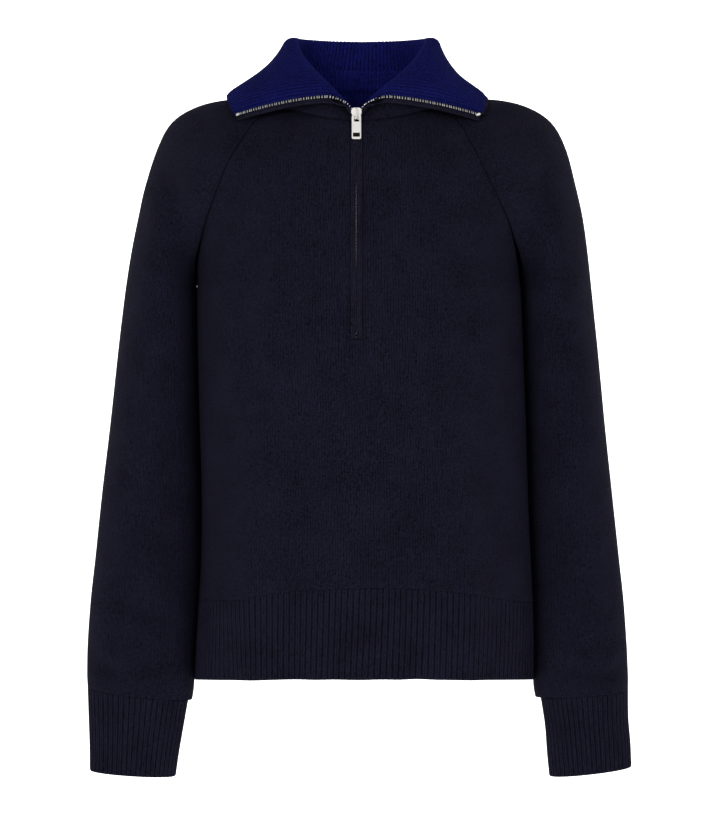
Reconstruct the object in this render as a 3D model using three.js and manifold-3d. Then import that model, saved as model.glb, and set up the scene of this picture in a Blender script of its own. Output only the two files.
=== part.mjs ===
// A quarter-zip raglan sweater in fine navy knit, filled out as it is when worn, with the collar
// unzipped and folded open over its cobalt inner ply. The cut pieces are the front with its zip slit,
// the back, two raglan sleeves, ribbed hem and cuff bands, the collar's outer and inner plies, two
// edge bands along the zip, the zip's two halves, and its slider with a hinged pull tab.
// Millimetres. +Z is up, the front faces -Y, and +X is the viewer's right. The origin lies between
// the shoulders, in the middle of the neck hole, where the wearer carries the sweater.
import * as THREE from 'three';
import Module from 'manifold-3d';
import { mergeVertices } from 'three/addons/utils/BufferGeometryUtils.js';

// Driving dimensions.
const KNIT = 2.4; // wall of the plain knit
const PLY = 2.0; // wall of each collar ply
const SEAM = 0.3; // gap left at every seam
const RIB_HEIGHT = 1.0; // how far a rib stands above the groove beside it
const COLLAR_RIB_HEIGHT = 0.8;
const HEM_RIBS = 80; // across the front band, and as many across the back
const CUFF_RIBS = 48;
const COLLAR_RIBS = 88;
const ZIP_X = -1; // the zip's centre line
const SLIT_HALF = 6.1; // half the width of the slit that the zip and its bands fill
const ZIP_FOOT_Z = -242;
const CHAIN_WIDTH = 3.1; // one half of the zip's chain
const PLY_TRIM = 5.2; // how far each collar ply ends from the zip's middle
const TAPE_WIDTH = 13; // one half of the zip's woven tape, inside the front

// The yoke, in rows from the neck seam down to the underarm point. A raglan seam's point is given for
// the front and the back, with the ridge along the top of the sleeve and the middle of the front and
// back. The turns are plan angles at the seam: how steeply the body and the sleeve leave it, and the
// reaches are how far each curve keeps its direction there.
const YOKE = [
  { step: 0, seamLeft: -84, seamRight: 86, frontY: -54, frontZ: -3, backY: 36, backZ: 19,
    ridgeLeft: -90, ridgeRight: 97, ridgeY: -10, ridgeZ: 12, chestY: -97, chestZ: -19.5,
    napeY: 66, napeZ: 25, bodyTurn: 45, sleeveTurn: 45, bodyReach: 28, midReach: 42,
    sleeveReach: 11, ridgeReach: 14 },
  { step: 1, seamLeft: -106, seamRight: 104, frontY: -64, frontZ: -17, backY: 55, backZ: 1,
    ridgeLeft: -136, ridgeRight: 145, ridgeY: -3, ridgeZ: 12, chestY: -100.5, chestZ: -30,
    napeY: 75, napeZ: 9, bodyTurn: 36, sleeveTurn: 36, bodyReach: 35, midReach: 50,
    sleeveReach: 18, ridgeReach: 25 },
  { step: 2, seamLeft: -119, seamRight: 115, frontY: -77, frontZ: -38, backY: 70, backZ: -24,
    ridgeLeft: -170, ridgeRight: 179, ridgeY: 2, ridgeZ: 4.5, chestY: -106, chestZ: -48,
    napeY: 84, napeZ: -14, bodyTurn: 30, sleeveTurn: 30, bodyReach: 42, midReach: 55,
    sleeveReach: 22, ridgeReach: 35 },
  { step: 3, seamLeft: -131.5, seamRight: 125.5, frontY: -86, frontZ: -59, backY: 79, backZ: -52,
    ridgeLeft: -196, ridgeRight: 204.5, ridgeY: 5, ridgeZ: -12, chestY: -111.5, chestZ: -67,
    napeY: 94, napeZ: -44, bodyTurn: 24, sleeveTurn: 22, bodyReach: 50, midReach: 60,
    sleeveReach: 25, ridgeReach: 40 },
  { step: 4, seamLeft: -141.6, seamRight: 137.7, frontY: -85, frontZ: -84, backY: 83, backZ: -80,
    ridgeLeft: -211, ridgeRight: 219.5, ridgeY: 6, ridgeZ: -40, chestY: -116.5, chestZ: -90,
    napeY: 102, napeZ: -76, bodyTurn: 28, sleeveTurn: 8, bodyReach: 50, midReach: 66,
    sleeveReach: 25, ridgeReach: 46 },
  { step: 5, seamLeft: -153.3, seamRight: 152.4, frontY: -76, frontZ: -114, backY: 76, backZ: -112,
    ridgeLeft: -222.5, ridgeRight: 229, ridgeY: 7, ridgeZ: -76, chestY: -121.5, chestZ: -117,
    napeY: 108, napeZ: -110, bodyTurn: 42, sleeveTurn: -10, bodyReach: 50, midReach: 74,
    sleeveReach: 25, ridgeReach: 57 },
  { step: 6, seamLeft: -160, seamRight: 160.2, frontY: -60, frontZ: -136, backY: 63, backZ: -135,
    ridgeLeft: -230.5, ridgeRight: 236.8, ridgeY: 8, ridgeZ: -111, chestY: -125, chestZ: -138,
    napeY: 110, napeZ: -134, bodyTurn: 60, sleeveTurn: -35, bodyReach: 52, midReach: 84,
    sleeveReach: 34, ridgeReach: 64 },
  { step: 7, seamLeft: -166, seamRight: 166.5, frontY: -37, frontZ: -160, backY: 42, backZ: -159,
    ridgeLeft: -238, ridgeRight: 242, ridgeY: 8, ridgeZ: -149, chestY: -127.5, chestZ: -161,
    napeY: 111, napeZ: -158, bodyTurn: 76, sleeveTurn: -62, bodyReach: 63, midReach: 102,
    sleeveReach: 54, ridgeReach: 76 },
  { step: 8, seamLeft: -168, seamRight: 171.2, frontY: -8, frontZ: -187, backY: -8, backZ: -187,
    ridgeLeft: -244, ridgeRight: 246, ridgeY: 8, ridgeZ: -187, chestY: -130, chestZ: -187,
    napeY: 112, napeZ: -187, bodyTurn: 90, sleeveTurn: -90, bodyReach: 90, midReach: 119,
    sleeveReach: 88, ridgeReach: 88 },
];
const UNDERARM_Z = -187;
const SIDE_Y = -8; // depth of the side seams
const MID_X = 1.6; // middle of the front and the back
const RING_SAG = 0.12; // a body ring leaves the seam this share of the way to its middle's height
const CAP_RISE = 0.2; // and a sleeve ring to the height of its ridge
const SEAM_SPREAD = 0.12; // the sleeve's side of the seam draws back by this share more on each row
const CAP_FULLNESS = { front: 0.95, back: 0.98 };
const OVAL_PEAK = 0.75; // share of its controls' distance that a level curve reaches

// Torso rings below the underarm: x of each side, y of the middle front and middle back, and how
// square the ring is, which is the reach of its curves as a share of its half width or depth.
const TORSO = [
  { z: -187, left: -168.0, right: 171.2, front: -130, back: 112, square: 0.72 },
  { z: -250, left: -167.3, right: 173.6, front: -132, back: 110, square: 0.69 },
  { z: -332, left: -165.2, right: 176.6, front: -132, back: 107, square: 0.66 },
  { z: -400, left: -163.5, right: 178.6, front: -131, back: 106, square: 0.64 },
  { z: -466, left: -163.6, right: 181.5, front: -130, back: 106, square: 0.64 },
  { z: -510, left: -165.0, right: 183.5, front: -128, back: 107, square: 0.64 },
  { z: -554, left: -167.2, right: 184.5, front: -125, back: 106, square: 0.64 },
  { z: -600, left: -168.9, right: 184.5, front: -122, back: 104, square: 0.64 },
];

// The line where the plain knit meets the hem ribs dips towards the sides, and so does the hem.
const RIB_TOP = { front: -497, back: -508, sides: -513 };
const HEM_EDGE = { front: -585, back: -592, sides: -595.5 };

// Soft upright folds of the body: x and half width of each, how far it stands out (or in, where
// negative) at the hem, and the height where it fades out.
const FRONT_FOLDS = [
  { x: -108, width: 13, out: 4.5, fade: -330 },
  { x: -62, width: 17, out: -3.5, fade: -380 },
  { x: 61, width: 13, out: -5.0, fade: -340 },
  { x: 112, width: 18, out: 3.0, fade: -400 },
];
const BACK_FOLDS = [
  { x: -95, width: 15, out: -4.0, fade: -360 },
  { x: -20, width: 20, out: 3.0, fade: -390 },
  { x: 74, width: 14, out: -4.5, fade: -320 },
  { x: 128, width: 15, out: 3.0, fade: -400 },
];

// Sleeve sections below the underarm, down to the wrist's edge: the outer and inner edge of each oval,
// the depth of its centre, and how deep its front and back halves are. The last four rows are the
// ribbed cuff.
const SLEEVE = {
  left: [
    { row: 0, outX: -244.0, outZ: -187, inX: -168.8, inZ: -187, inY: -8, y: 7, front: 63, back: 69 },
    { row: 1, outX: -251.5, outZ: -250, inX: -171.6, inZ: -252, inY: 0, y: 8, front: 65, back: 66 },
    { row: 2, outX: -260.5, outZ: -332, inX: -169.6, inZ: -334, inY: 8, y: 8, front: 62, back: 62 },
    { row: 3, outX: -268.5, outZ: -399, inX: -168.0, inZ: -401, inY: 7, y: 7, front: 57, back: 57 },
    { row: 4, outX: -275.5, outZ: -466, inX: -168.6, inZ: -469, inY: 6, y: 6, front: 51, back: 51 },
    { row: 5, outX: -280.5, outZ: -512, inX: -170.4, inZ: -516, inY: 4, y: 4, front: 47, back: 47 },
    { row: 6, outX: -283.5, outZ: -556, inX: -173.0, inZ: -563, inY: 2, y: 2, front: 43, back: 43 },
    { row: 7, outX: -284.0, outZ: -588, inX: -175.0, inZ: -600, inY: 0, y: 0, front: 40, back: 40 },
    { row: 8, outX: -283.3, outZ: -605, inX: -177.5, inZ: -617, inY: -1, y: -1, front: 37, back: 37 },
    { row: 9, outX: -282.2, outZ: -636, inX: -182.5, inZ: -646, inY: -2, y: -2, front: 33, back: 33 },
    { row: 10, outX: -281.2, outZ: -664, inX: -187.0, inZ: -672, inY: -2, y: -2, front: 31, back: 31 },
    { row: 11, outX: -281.0, outZ: -691, inX: -190.6, inZ: -697, inY: -2, y: -2, front: 30, back: 30 },
  ],
  right: [
    { row: 0, outX: 246.0, outZ: -187, inX: 172.0, inZ: -187, inY: -8, y: 7, front: 63, back: 69 },
    { row: 1, outX: 252.5, outZ: -250, inX: 178.2, inZ: -252, inY: 0, y: 8, front: 65, back: 66 },
    { row: 2, outX: 260.4, outZ: -332, inX: 181.6, inZ: -334, inY: 8, y: 8, front: 62, back: 62 },
    { row: 3, outX: 267.5, outZ: -399, inX: 183.6, inZ: -401, inY: 7, y: 7, front: 57, back: 57 },
    { row: 4, outX: 274.6, outZ: -466, inX: 186.6, inZ: -469, inY: 6, y: 6, front: 51, back: 51 },
    { row: 5, outX: 279.5, outZ: -512, inX: 188.8, inZ: -516, inY: 4, y: 4, front: 47, back: 47 },
    { row: 6, outX: 282.5, outZ: -556, inX: 190.2, inZ: -563, inY: 2, y: 2, front: 43, back: 43 },
    { row: 7, outX: 284.0, outZ: -590, inX: 190.0, inZ: -598, inY: 0, y: 0, front: 40, back: 40 },
    { row: 8, outX: 284.0, outZ: -607, inX: 192.0, inZ: -614, inY: -1, y: -1, front: 37, back: 37 },
    { row: 9, outX: 284.3, outZ: -636, inX: 196.5, inZ: -644, inY: -2, y: -2, front: 33, back: 33 },
    { row: 10, outX: 286.5, outZ: -662, inX: 198.5, inZ: -671, inY: -2, y: -2, front: 31, back: 31 },
    { row: 11, outX: 287.5, outZ: -687, inX: 201.0, inZ: -697, inY: -2, y: -2, front: 30, back: 30 },
  ],
};
const CUFF_ROW = 8;
const LAST_ROW = 11;
const CUFF_GAP = 0.013; // as a share of a row

// Creases that fall from each shoulder into the armpit, as points down the trough on the sleeve's front.
const ARMPIT_CREASES = {
  left: { width: 17, depth: 4.5, fade: 16, x: [-198, -192, -186], z: [-62, -100, -150] },
  right: { width: 17, depth: 6.0, fade: 16, x: [196, 190, 186], z: [-70, -105, -155] },
};

// The collar, at places from the zip's edge (0) to the middle of the back (1), as shares of half its
// length. Its wall rises from the neck seam to its top, folds over there, and falls outside to its free
// edge. The left half is given, and the right half mirrors it about mid and edgeMid. Bend is the size
// of the turn, and bulge how far the fall swells on its way down.
const COLLAR = [
  { at: 0.0, topX: -4.5, topY: -95.9, topZ: -8, overX: -33, overY: -97, overZ: 4, mid: -1,
    edgeX: -125.4, edgeY: -59, edgeZ: -10.8, edgeMid: 0.7, bend: 6, bulge: 8 },
  { at: 0.08, topX: -25, topY: -88, topZ: 10, overX: -42, overY: -89, overZ: 19, mid: 0,
    edgeX: -132.5, edgeY: -47, edgeZ: 1.5, edgeMid: 1.5, bend: 6, bulge: 9 },
  { at: 0.18, topX: -44, topY: -68, topZ: 31, overX: -57, overY: -69, overZ: 35, mid: 2,
    edgeX: -135.5, edgeY: -26, edgeZ: 13.5, edgeMid: 2, bend: 6, bulge: 10.5 },
  { at: 0.3, topX: -58, topY: -44, topZ: 50, overX: -70, overY: -46, overZ: 52, mid: 2.5,
    edgeX: -129, edgeY: 1, edgeZ: 20, edgeMid: 1, bend: 6, bulge: 11 },
  { at: 0.42, topX: -63.5, topY: -20, topZ: 65, overX: -75, overY: -21, overZ: 66, mid: 3.8,
    edgeX: -115, edgeY: 25, edgeZ: 19.5, edgeMid: 1, bend: 6, bulge: 10 },
  { at: 0.53, topX: -64, topY: -3, topZ: 70, overX: -75, overY: -1, overZ: 71, mid: 4.5,
    edgeX: -100, edgeY: 46, edgeZ: 15, edgeMid: 2, bend: 6, bulge: 9 },
  { at: 0.7, topX: -55, topY: 30, topZ: 73, overX: -65, overY: 37, overZ: 73, mid: 4.5,
    edgeX: -74, edgeY: 71, edgeZ: 9, edgeMid: 3.5, bend: 6, bulge: 7 },
  { at: 0.85, topX: -30, topY: 53, topZ: 74, overX: -36, overY: 63.5, overZ: 74, mid: 4.5,
    edgeX: -38, edgeY: 85, edgeZ: 4, edgeMid: 4.5, bend: 6, bulge: 6 },
  { at: 1.0, topX: 4.5, topY: 60, topZ: 74, overX: 4.5, overY: 71.5, overZ: 74, mid: 4.5,
    edgeX: 4.5, edgeY: 88.5, edgeZ: 2, edgeMid: 4.5, bend: 6, bulge: 6 },
];
const COLLAR_INSET = 1.2; // the collar's middle stands this far inside the neck seam's outer edge
const COLLAR_LIFT = { front: 0.8, back: 1.9 }; // how far its lower edge stands off the seam
const NECK_MIDDLE_Y = -15;
const TURN_FULLNESS = 1.33;
const FALL_SHAPE = { nearAt: 0.33, nearOut: 1.3, farAt: 0.7, farOut: 0.9 };
const LAPEL = { until: 0.3, forward: -1, upward: 0.35 }; // the front corners swell forwards

// The slider closes the zip up to a little above the neck seam.
const SLIDER = { low: -17.5, high: -6, plate: 1.0, slack: 0.3, backHalf: 3.1, postHalf: 0.9,
  postLow: -11.8, postHigh: -6.4, lap: 0.5 };
const SLIDER_OUTLINE = [
  { z: -17.5, half: 3.2 }, { z: -16.9, half: 3.7 }, { z: -12.6, half: 4.5 }, { z: -10.2, half: 5.0 },
  { z: -7.4, half: 4.7 }, { z: -6.0, half: 3.8 },
];
const BRIDGE = { half: 1.7, low: -16.9, high: -7.6, out: 4.2, bar: 1.2, corner: 1.4, inCorner: 0.5,
  lap: 0.4 };
const TAB = { half: 4.75, length: 24.6, thick: 1.4, bar: 0.75, eyeHalf: 2.5, eyeEnd: 6.2, corner: 1.1 };
const TAB_SLOT = { half: 3.2, from: 18.2, to: 21.8 };
const PIVOT = { y: -100.25, z: -14.45, lean: 11.5 };

// Depths of the layers at the zip, measured from the middle of the wall towards its inner side.
const PLACKET_LAYERS = { bandFrom: -1.6, bandTo: 0.8, chainFrom: 1.1, chainTo: 3.3, tape: 2.2 };
const COLLAR_LAYERS = { bandFrom: -3.9, bandTo: -2.2, chainFrom: -1.0, chainTo: 1.3, tape: -0.2 };
const TAPE_THICK = 0.5;

// Curves.
const point = (x, y, z) => new THREE.Vector3(x, y, z);
const mix = THREE.MathUtils.lerp;

function smoothRow(table, key, value) {
  let i = 0;
  const rising = table[table.length - 1][key] > table[0][key];
  while (i < table.length - 2 && (rising ? value > table[i + 1][key] : value < table[i + 1][key])) i += 1;
  const slope = (column, k) => {
    const a = table[Math.max(0, k - 1)];
    const b = table[Math.min(table.length - 1, k + 1)];
    return (b[column] - a[column]) / (b[key] - a[key]);
  };
  const low = table[i];
  const high = table[i + 1];
  const span = high[key] - low[key];
  const t = THREE.MathUtils.clamp((value - low[key]) / span, 0, 1);
  const row = {};
  for (const column of Object.keys(low)) {
    const a = low[column];
    const b = high[column];
    const ta = slope(column, i) * span;
    const tb = slope(column, i + 1) * span;
    row[column] = a * (2 * t ** 3 - 3 * t ** 2 + 1) + ta * (t ** 3 - 2 * t ** 2 + t)
      + b * (3 * t ** 2 - 2 * t ** 3) + tb * (t ** 3 - t ** 2);
  }
  return row;
}

function bezier(a, b, c, d, steps = 24) {
  return new THREE.CubicBezierCurve3(a, b, c, d).getPoints(steps);
}

function joined(...lines) {
  return lines.flatMap((line, i) => (i ? line.slice(1) : line));
}

function lengths(line) {
  const sums = [0];
  for (let i = 1; i < line.length; i += 1) sums.push(sums[i - 1] + line[i].distanceTo(line[i - 1]));
  return sums;
}

function along(line, share, sums = lengths(line)) {
  const target = THREE.MathUtils.clamp(share, 0, 1) * sums[sums.length - 1];
  let i = 1;
  while (i < line.length - 1 && sums[i] < target) i += 1;
  const t = (target - sums[i - 1]) / (sums[i] - sums[i - 1]);
  return line[i - 1].clone().lerp(line[i], t);
}

function spaced(line, cells) {
  const sums = lengths(line);
  return Array.from({ length: cells + 1 }, (_, i) => along(line, i / cells, sums));
}

function shareAtX(line, x) {
  const sums = lengths(line);
  const i = line.findIndex((p, k) => k > 0 && line[k - 1].x <= x && p.x >= x);
  const t = (x - line[i - 1].x) / (line[i].x - line[i - 1].x);
  return mix(sums[i - 1], sums[i], t) / sums[sums.length - 1];
}

// Body rings, each from the left seam over the middle to the right seam, so x rises along them.
function halfRing(left, right, middle, turn, reach, midReach, forward) {
  const angle = THREE.MathUtils.degToRad(turn);
  const start = (seam, inward) => point(seam.x + inward * reach * Math.cos(angle),
    seam.y + forward * reach * Math.sin(angle), mix(seam.z, middle.z, RING_SAG));
  const nearMiddle = (inward) => point(middle.x - inward * midReach, middle.y, middle.z);
  return joined(bezier(left, start(left, 1), nearMiddle(1), middle),
    bezier(middle, nearMiddle(-1), start(right, -1), right));
}

function yokeLine(step, front) {
  const row = smoothRow(YOKE, 'step', step);
  const y = front ? row.frontY : row.backY;
  const z = front ? row.frontZ : row.backZ;
  const into = SEAM * 0.7;
  const side = (step >= 7 ? (step - 7) : 0) * into * (front ? -1 : 1);
  const left = point(row.seamLeft + into, y + side, z);
  const right = point(row.seamRight - into, y + side, z);
  const middle = front ? point(MID_X, row.chestY, row.chestZ) : point(MID_X, row.napeY, row.napeZ);
  return halfRing(left, right, middle, row.bodyTurn, row.bodyReach, row.midReach, front ? -1 : 1);
}

function torsoLine(z, front) {
  const row = smoothRow(TORSO, 'z', z);
  const into = SEAM * 0.7;
  const forward = front ? -1 : 1;
  const y = SIDE_Y + forward * into;
  const down = (UNDERARM_Z - z) / (UNDERARM_Z - TORSO.at(-1).z);
  const middle = point(mix(MID_X, (row.left + row.right) / 2, down), front ? row.front : row.back, z);
  const reach = row.square * Math.abs(middle.y - y);
  const midReach = row.square * (row.right - row.left) / 2;
  return halfRing(point(row.left + into, y, z), point(row.right - into, y, z), middle, 90, reach,
    midReach, forward);
}

function foldOut(folds, x, z) {
  return folds.reduce((sum, fold) => {
    const grow = THREE.MathUtils.smoothstep(fold.fade - z, 0, fold.fade - HEM_EDGE.front);
    return sum + fold.out * grow * Math.exp(-(((x - fold.x) / fold.width) ** 2));
  }, 0);
}

const sideDip = (share, edge, middle) => mix(middle, edge, Math.abs(2 * share - 1) ** 2.2);

function torsoPoint(share, z, front) {
  const p = along(torsoLine(z, front), share);
  const folds = foldOut(front ? FRONT_FOLDS : BACK_FOLDS, p.x, z);
  p.y += (front ? -1 : 1) * folds;
  return p;
}

// Sleeve lines run from the front seam over the ridge to the back seam.
function capLine(step, side) {
  const row = smoothRow(YOKE, 'step', step);
  const outward = side === 'left' ? -1 : 1;
  const seamX = (side === 'left' ? row.seamLeft : row.seamRight) + outward * SEAM * (1 + step * SEAM_SPREAD);
  const ridgeX = side === 'left' ? row.ridgeLeft : row.ridgeRight;
  const angle = THREE.MathUtils.degToRad(row.sleeveTurn);
  const ridge = point(ridgeX, row.ridgeY, row.ridgeZ);
  const half = (y, z, back) => {
    const seam = point(seamX, y, z);
    const reach = row.sleeveReach * (back > 0 ? CAP_FULLNESS.back : CAP_FULLNESS.front);
    const leave = point(seamX + outward * reach * Math.cos(angle),
      y - back * reach * Math.sin(angle), mix(z, row.ridgeZ, CAP_RISE));
    const arrive = point(ridgeX, row.ridgeY + back * row.ridgeReach, row.ridgeZ);
    return bezier(seam, leave, arrive, ridge);
  };
  return joined(half(row.frontY, row.frontZ, -1), half(row.backY, row.backZ, 1).reverse());
}

function tubeLine(at, side) {
  const row = smoothRow(SLEEVE[side], 'row', at);
  const inner = point(row.inX, row.inY, row.inZ);
  const outer = point(row.outX, row.y, row.outZ);
  const forward = -row.front / OVAL_PEAK;
  const backward = row.back / OVAL_PEAK;
  const shifted = (p, by) => point(p.x, p.y + by, p.z);
  return joined(bezier(inner, shifted(inner, forward), shifted(outer, forward), outer),
    bezier(outer, shifted(outer, backward), shifted(inner, backward), inner));
}

function creaseDepth(crease, p) {
  if (p.y > 0) return 0;
  const top = crease.z[0];
  const low = crease.z[crease.z.length - 1];
  const t = THREE.MathUtils.clamp((top - p.z) / (top - low), 0, 1);
  const at = t * (crease.x.length - 1);
  const i = Math.min(Math.floor(at), crease.x.length - 2);
  const x = mix(crease.x[i], crease.x[i + 1], at - i);
  const outside = Math.max(0, p.z - top, low - p.z) / crease.fade;
  return crease.depth * Math.exp(-(((p.x - x) / crease.width) ** 2) - outside ** 2);
}

// Walls. A grid is a list of rows of points on the outer face, rows going down and points going the
// way that makes each cell face outwards.
function gridNormals(grid, closed) {
  const last = grid.length - 1;
  const slope = (a, b, c) => b.clone().multiplyScalar(4).addScaledVector(a, -3).sub(c);
  return grid.map((row, i) => row.map((p, j) => {
    const end = row.length - 1;
    let across;
    if (j > 0 && j < end) across = row[j + 1].clone().sub(row[j - 1]);
    else if (closed(i)) across = row[1].clone().sub(row[end - 1]);
    else if (j === 0) across = slope(p, row[1], row[2]);
    else across = slope(p, row[end - 1], row[end - 2]).negate();
    let fall;
    if (i > 0 && i < last) fall = grid[i + 1][j].clone().sub(grid[i - 1][j]);
    else if (last < 2) fall = grid[last][j].clone().sub(grid[0][j]);
    else if (i === 0) fall = slope(p, grid[1][j], grid[2][j]);
    else fall = slope(p, grid[last - 1][j], grid[last - 2][j]).negate();
    return fall.cross(across).normalize();
  }));
}

class Solid {
  constructor() {
    this.positions = [];
    this.triangles = [];
  }

  vertex(p) {
    this.positions.push(p.x, p.y, p.z);
    return this.positions.length / 3 - 1;
  }

  quad(a, b, c, d) {
    this.triangle(a, b, c);
    this.triangle(a, c, d);
  }

  // A cell of four corners, split from its first corner or else from its second.
  split(a, b, c, d, fromFirst) {
    if (fromFirst) this.quad(a, b, c, d);
    else this.quad(b, c, d, a);
  }

  triangle(a, b, c) {
    if (a !== b && b !== c && a !== c) this.triangles.push(a, b, c);
  }

  geometry() {
    const made = new THREE.BufferGeometry();
    made.setAttribute('position', new THREE.Float32BufferAttribute(this.positions, 3));
    made.setIndex(this.triangles);
    return made;
  }
}

// A wall of one thickness behind a grid, or as far as the inner grid that is given. Cells for which
// keep says no are left out, and rows for which closed says yes join their last point to their first.
function wall(grid, thickness, { keep = () => true, closed = () => false, inside } = {}) {
  const solid = new Solid();
  const normals = gridNormals(grid, closed);
  const outer = [];
  const inner = [];
  grid.forEach((row, i) => {
    outer.push([]);
    inner.push([]);
    row.forEach((p, j) => {
      if (closed(i) && j === row.length - 1) {
        outer[i].push(outer[i][0]);
        inner[i].push(inner[i][0]);
        return;
      }
      outer[i].push(solid.vertex(p));
      const under = inside ? inside[i][j] : p.clone().addScaledVector(normals[i][j], -thickness);
      inner[i].push(solid.vertex(under));
    });
  });
  const rows = grid.length - 1;
  const columns = grid[0].length - 1;
  const kept = (i, j) => {
    if (i < 0 || i >= rows) return false;
    if (j < 0 || j >= columns) return closed(i) && closed(i + 1);
    return keep(i, j);
  };
  for (let i = 0; i < rows; i += 1) {
    for (let j = 0; j < columns; j += 1) {
      if (!kept(i, j)) continue;
      const falls = inside
        || grid[i][j].distanceTo(grid[i + 1][j + 1]) <= grid[i + 1][j].distanceTo(grid[i][j + 1]);
      solid.split(outer[i][j], outer[i + 1][j], outer[i + 1][j + 1], outer[i][j + 1], falls);
      solid.split(inner[i][j], inner[i][j + 1], inner[i + 1][j + 1], inner[i + 1][j], falls);
      if (!kept(i - 1, j)) solid.quad(outer[i][j], outer[i][j + 1], inner[i][j + 1], inner[i][j]);
      if (!kept(i + 1, j)) {
        solid.quad(outer[i + 1][j + 1], outer[i + 1][j], inner[i + 1][j], inner[i + 1][j + 1]);
      }
      if (!kept(i, j - 1)) solid.quad(outer[i + 1][j], outer[i][j], inner[i][j], inner[i + 1][j]);
      if (!kept(i, j + 1)) {
        solid.quad(outer[i][j + 1], outer[i + 1][j + 1], inner[i + 1][j + 1], inner[i][j + 1]);
      }
    }
  }
  return solid.geometry();
}

// A ribbed wall: the outer grid has a point on each rib and in each groove, and the plain inner grid
// has one point for every few of those.
function ribbedWall(outerGrid, innerGrid, closed) {
  const solid = new Solid();
  const place = (grid) => grid.map((row) => {
    const ids = row.map((p, j) => (closed && j === row.length - 1 ? null : solid.vertex(p)));
    if (closed) ids[ids.length - 1] = ids[0];
    return ids;
  });
  const outer = place(outerGrid);
  const inner = place(innerGrid);
  const rows = outer.length - 1;
  const face = (ids, flip) => {
    for (let i = 0; i < rows; i += 1) {
      for (let j = 0; j < ids[i].length - 1; j += 1) {
        const corners = [ids[i][j], ids[i + 1][j], ids[i + 1][j + 1], ids[i][j + 1]];
        if (flip) corners.reverse();
        solid.quad(...corners);
      }
    }
  };
  face(outer, false);
  face(inner, true);
  const rim = (far, near, flip) => {
    const many = far.length - 1;
    const few = near.length - 1;
    let b = 0;
    for (let a = 0; a < many; a += 1) {
      if (flip) solid.triangle(far[a], near[b], far[a + 1]);
      else solid.triangle(far[a], far[a + 1], near[b]);
      if ((a + 1) * few >= (b + 0.5) * many && b < few) {
        if (flip) solid.triangle(far[a + 1], near[b], near[b + 1]);
        else solid.triangle(far[a + 1], near[b + 1], near[b]);
        b += 1;
      }
    }
  };
  rim(outer[0], inner[0], false);
  rim(outer[rows], inner[rows], true);
  if (!closed) {
    for (let i = 0; i < rows; i += 1) {
      const last = outer[i].length - 1;
      const lastInner = inner[i].length - 1;
      solid.quad(outer[i + 1][0], outer[i][0], inner[i][0], inner[i + 1][0]);
      solid.quad(outer[i][last], outer[i + 1][last], inner[i + 1][lastInner], inner[i][lastInner]);
    }
  }
  return solid.geometry();
}

// Cutting and joining closed meshes.
const wasm = await Module();
wasm.setup();

function solidFrom(geometry) {
  const bare = geometry.clone();
  bare.deleteAttribute('normal');
  bare.deleteAttribute('uv');
  const merged = mergeVertices(bare, 1e-4);
  return new wasm.Manifold(new wasm.Mesh({
    numProp: 3,
    vertProperties: new Float32Array(merged.attributes.position.array),
    triVerts: new Uint32Array(merged.index.array),
  }));
}

function geometryFrom(solid) {
  const mesh = solid.getMesh();
  const made = new THREE.BufferGeometry();
  made.setAttribute('position', new THREE.Float32BufferAttribute(mesh.vertProperties, 3));
  made.setIndex(Array.from(mesh.triVerts));
  return made;
}

function cut(geometry, tools) {
  const left = tools.reduce((solid, tool) => solid.subtract(solidFrom(tool)), solidFrom(geometry));
  const pieces = left.decompose().sort((a, b) => b.volume() - a.volume());
  return geometryFrom(pieces[0]);
}

// Panels.
const SEAM_STEPS = [0, 0.9, 1.9, 2.9, 4, 5, 6, 7, 7.55]; // yoke rows, shared by all the panels
const TORSO_ROWS = 8;
const FRONT_HALF_CELLS = 9;
const BACK_CELLS = 18;

function frontRow(line) {
  const left = shareAtX(line, ZIP_X - SLIT_HALF);
  const right = shareAtX(line, ZIP_X + SLIT_HALF);
  const shares = [];
  for (let i = 0; i <= FRONT_HALF_CELLS; i += 1) shares.push(left * i / FRONT_HALF_CELLS);
  for (let i = 0; i <= FRONT_HALF_CELLS; i += 1) shares.push(mix(right, 1, i / FRONT_HALF_CELLS));
  return shares;
}

function bodyGrid(front) {
  const shares = (line) => (front ? frontRow(line)
    : Array.from({ length: BACK_CELLS + 1 }, (_, i) => i / BACK_CELLS));
  const grid = [];
  for (const step of [...SEAM_STEPS, 8]) {
    const line = yokeLine(step, front);
    const sums = lengths(line);
    grid.push(shares(line).map((share) => along(line, share, sums)));
  }
  for (let i = 1; i <= TORSO_ROWS; i += 1) {
    const foot = slitRowZ(i);
    const level = torsoLine(foot(0.5, front), front);
    grid.push(shares(level).map((share) => torsoPoint(share, foot(share, front), front)));
  }
  if (!front) grid.forEach((row) => row.reverse());
  return grid;
}

// The first torso row ends the zip's slit, and the rest share the way down to the ribs.
function slitRowZ(i) {
  return (share, front) => {
    const low = sideDip(share, RIB_TOP.sides, front ? RIB_TOP.front : RIB_TOP.back) + SEAM / 2;
    return i === 1 ? ZIP_FOOT_Z : mix(ZIP_FOOT_Z, low, (i - 1) / (TORSO_ROWS - 1));
  };
}

function frontPanel() {
  const slitRows = SEAM_STEPS.length + 1;
  return wall(bodyGrid(true), KNIT, { keep: (i, j) => !(j === FRONT_HALF_CELLS && i < slitRows) });
}

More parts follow.
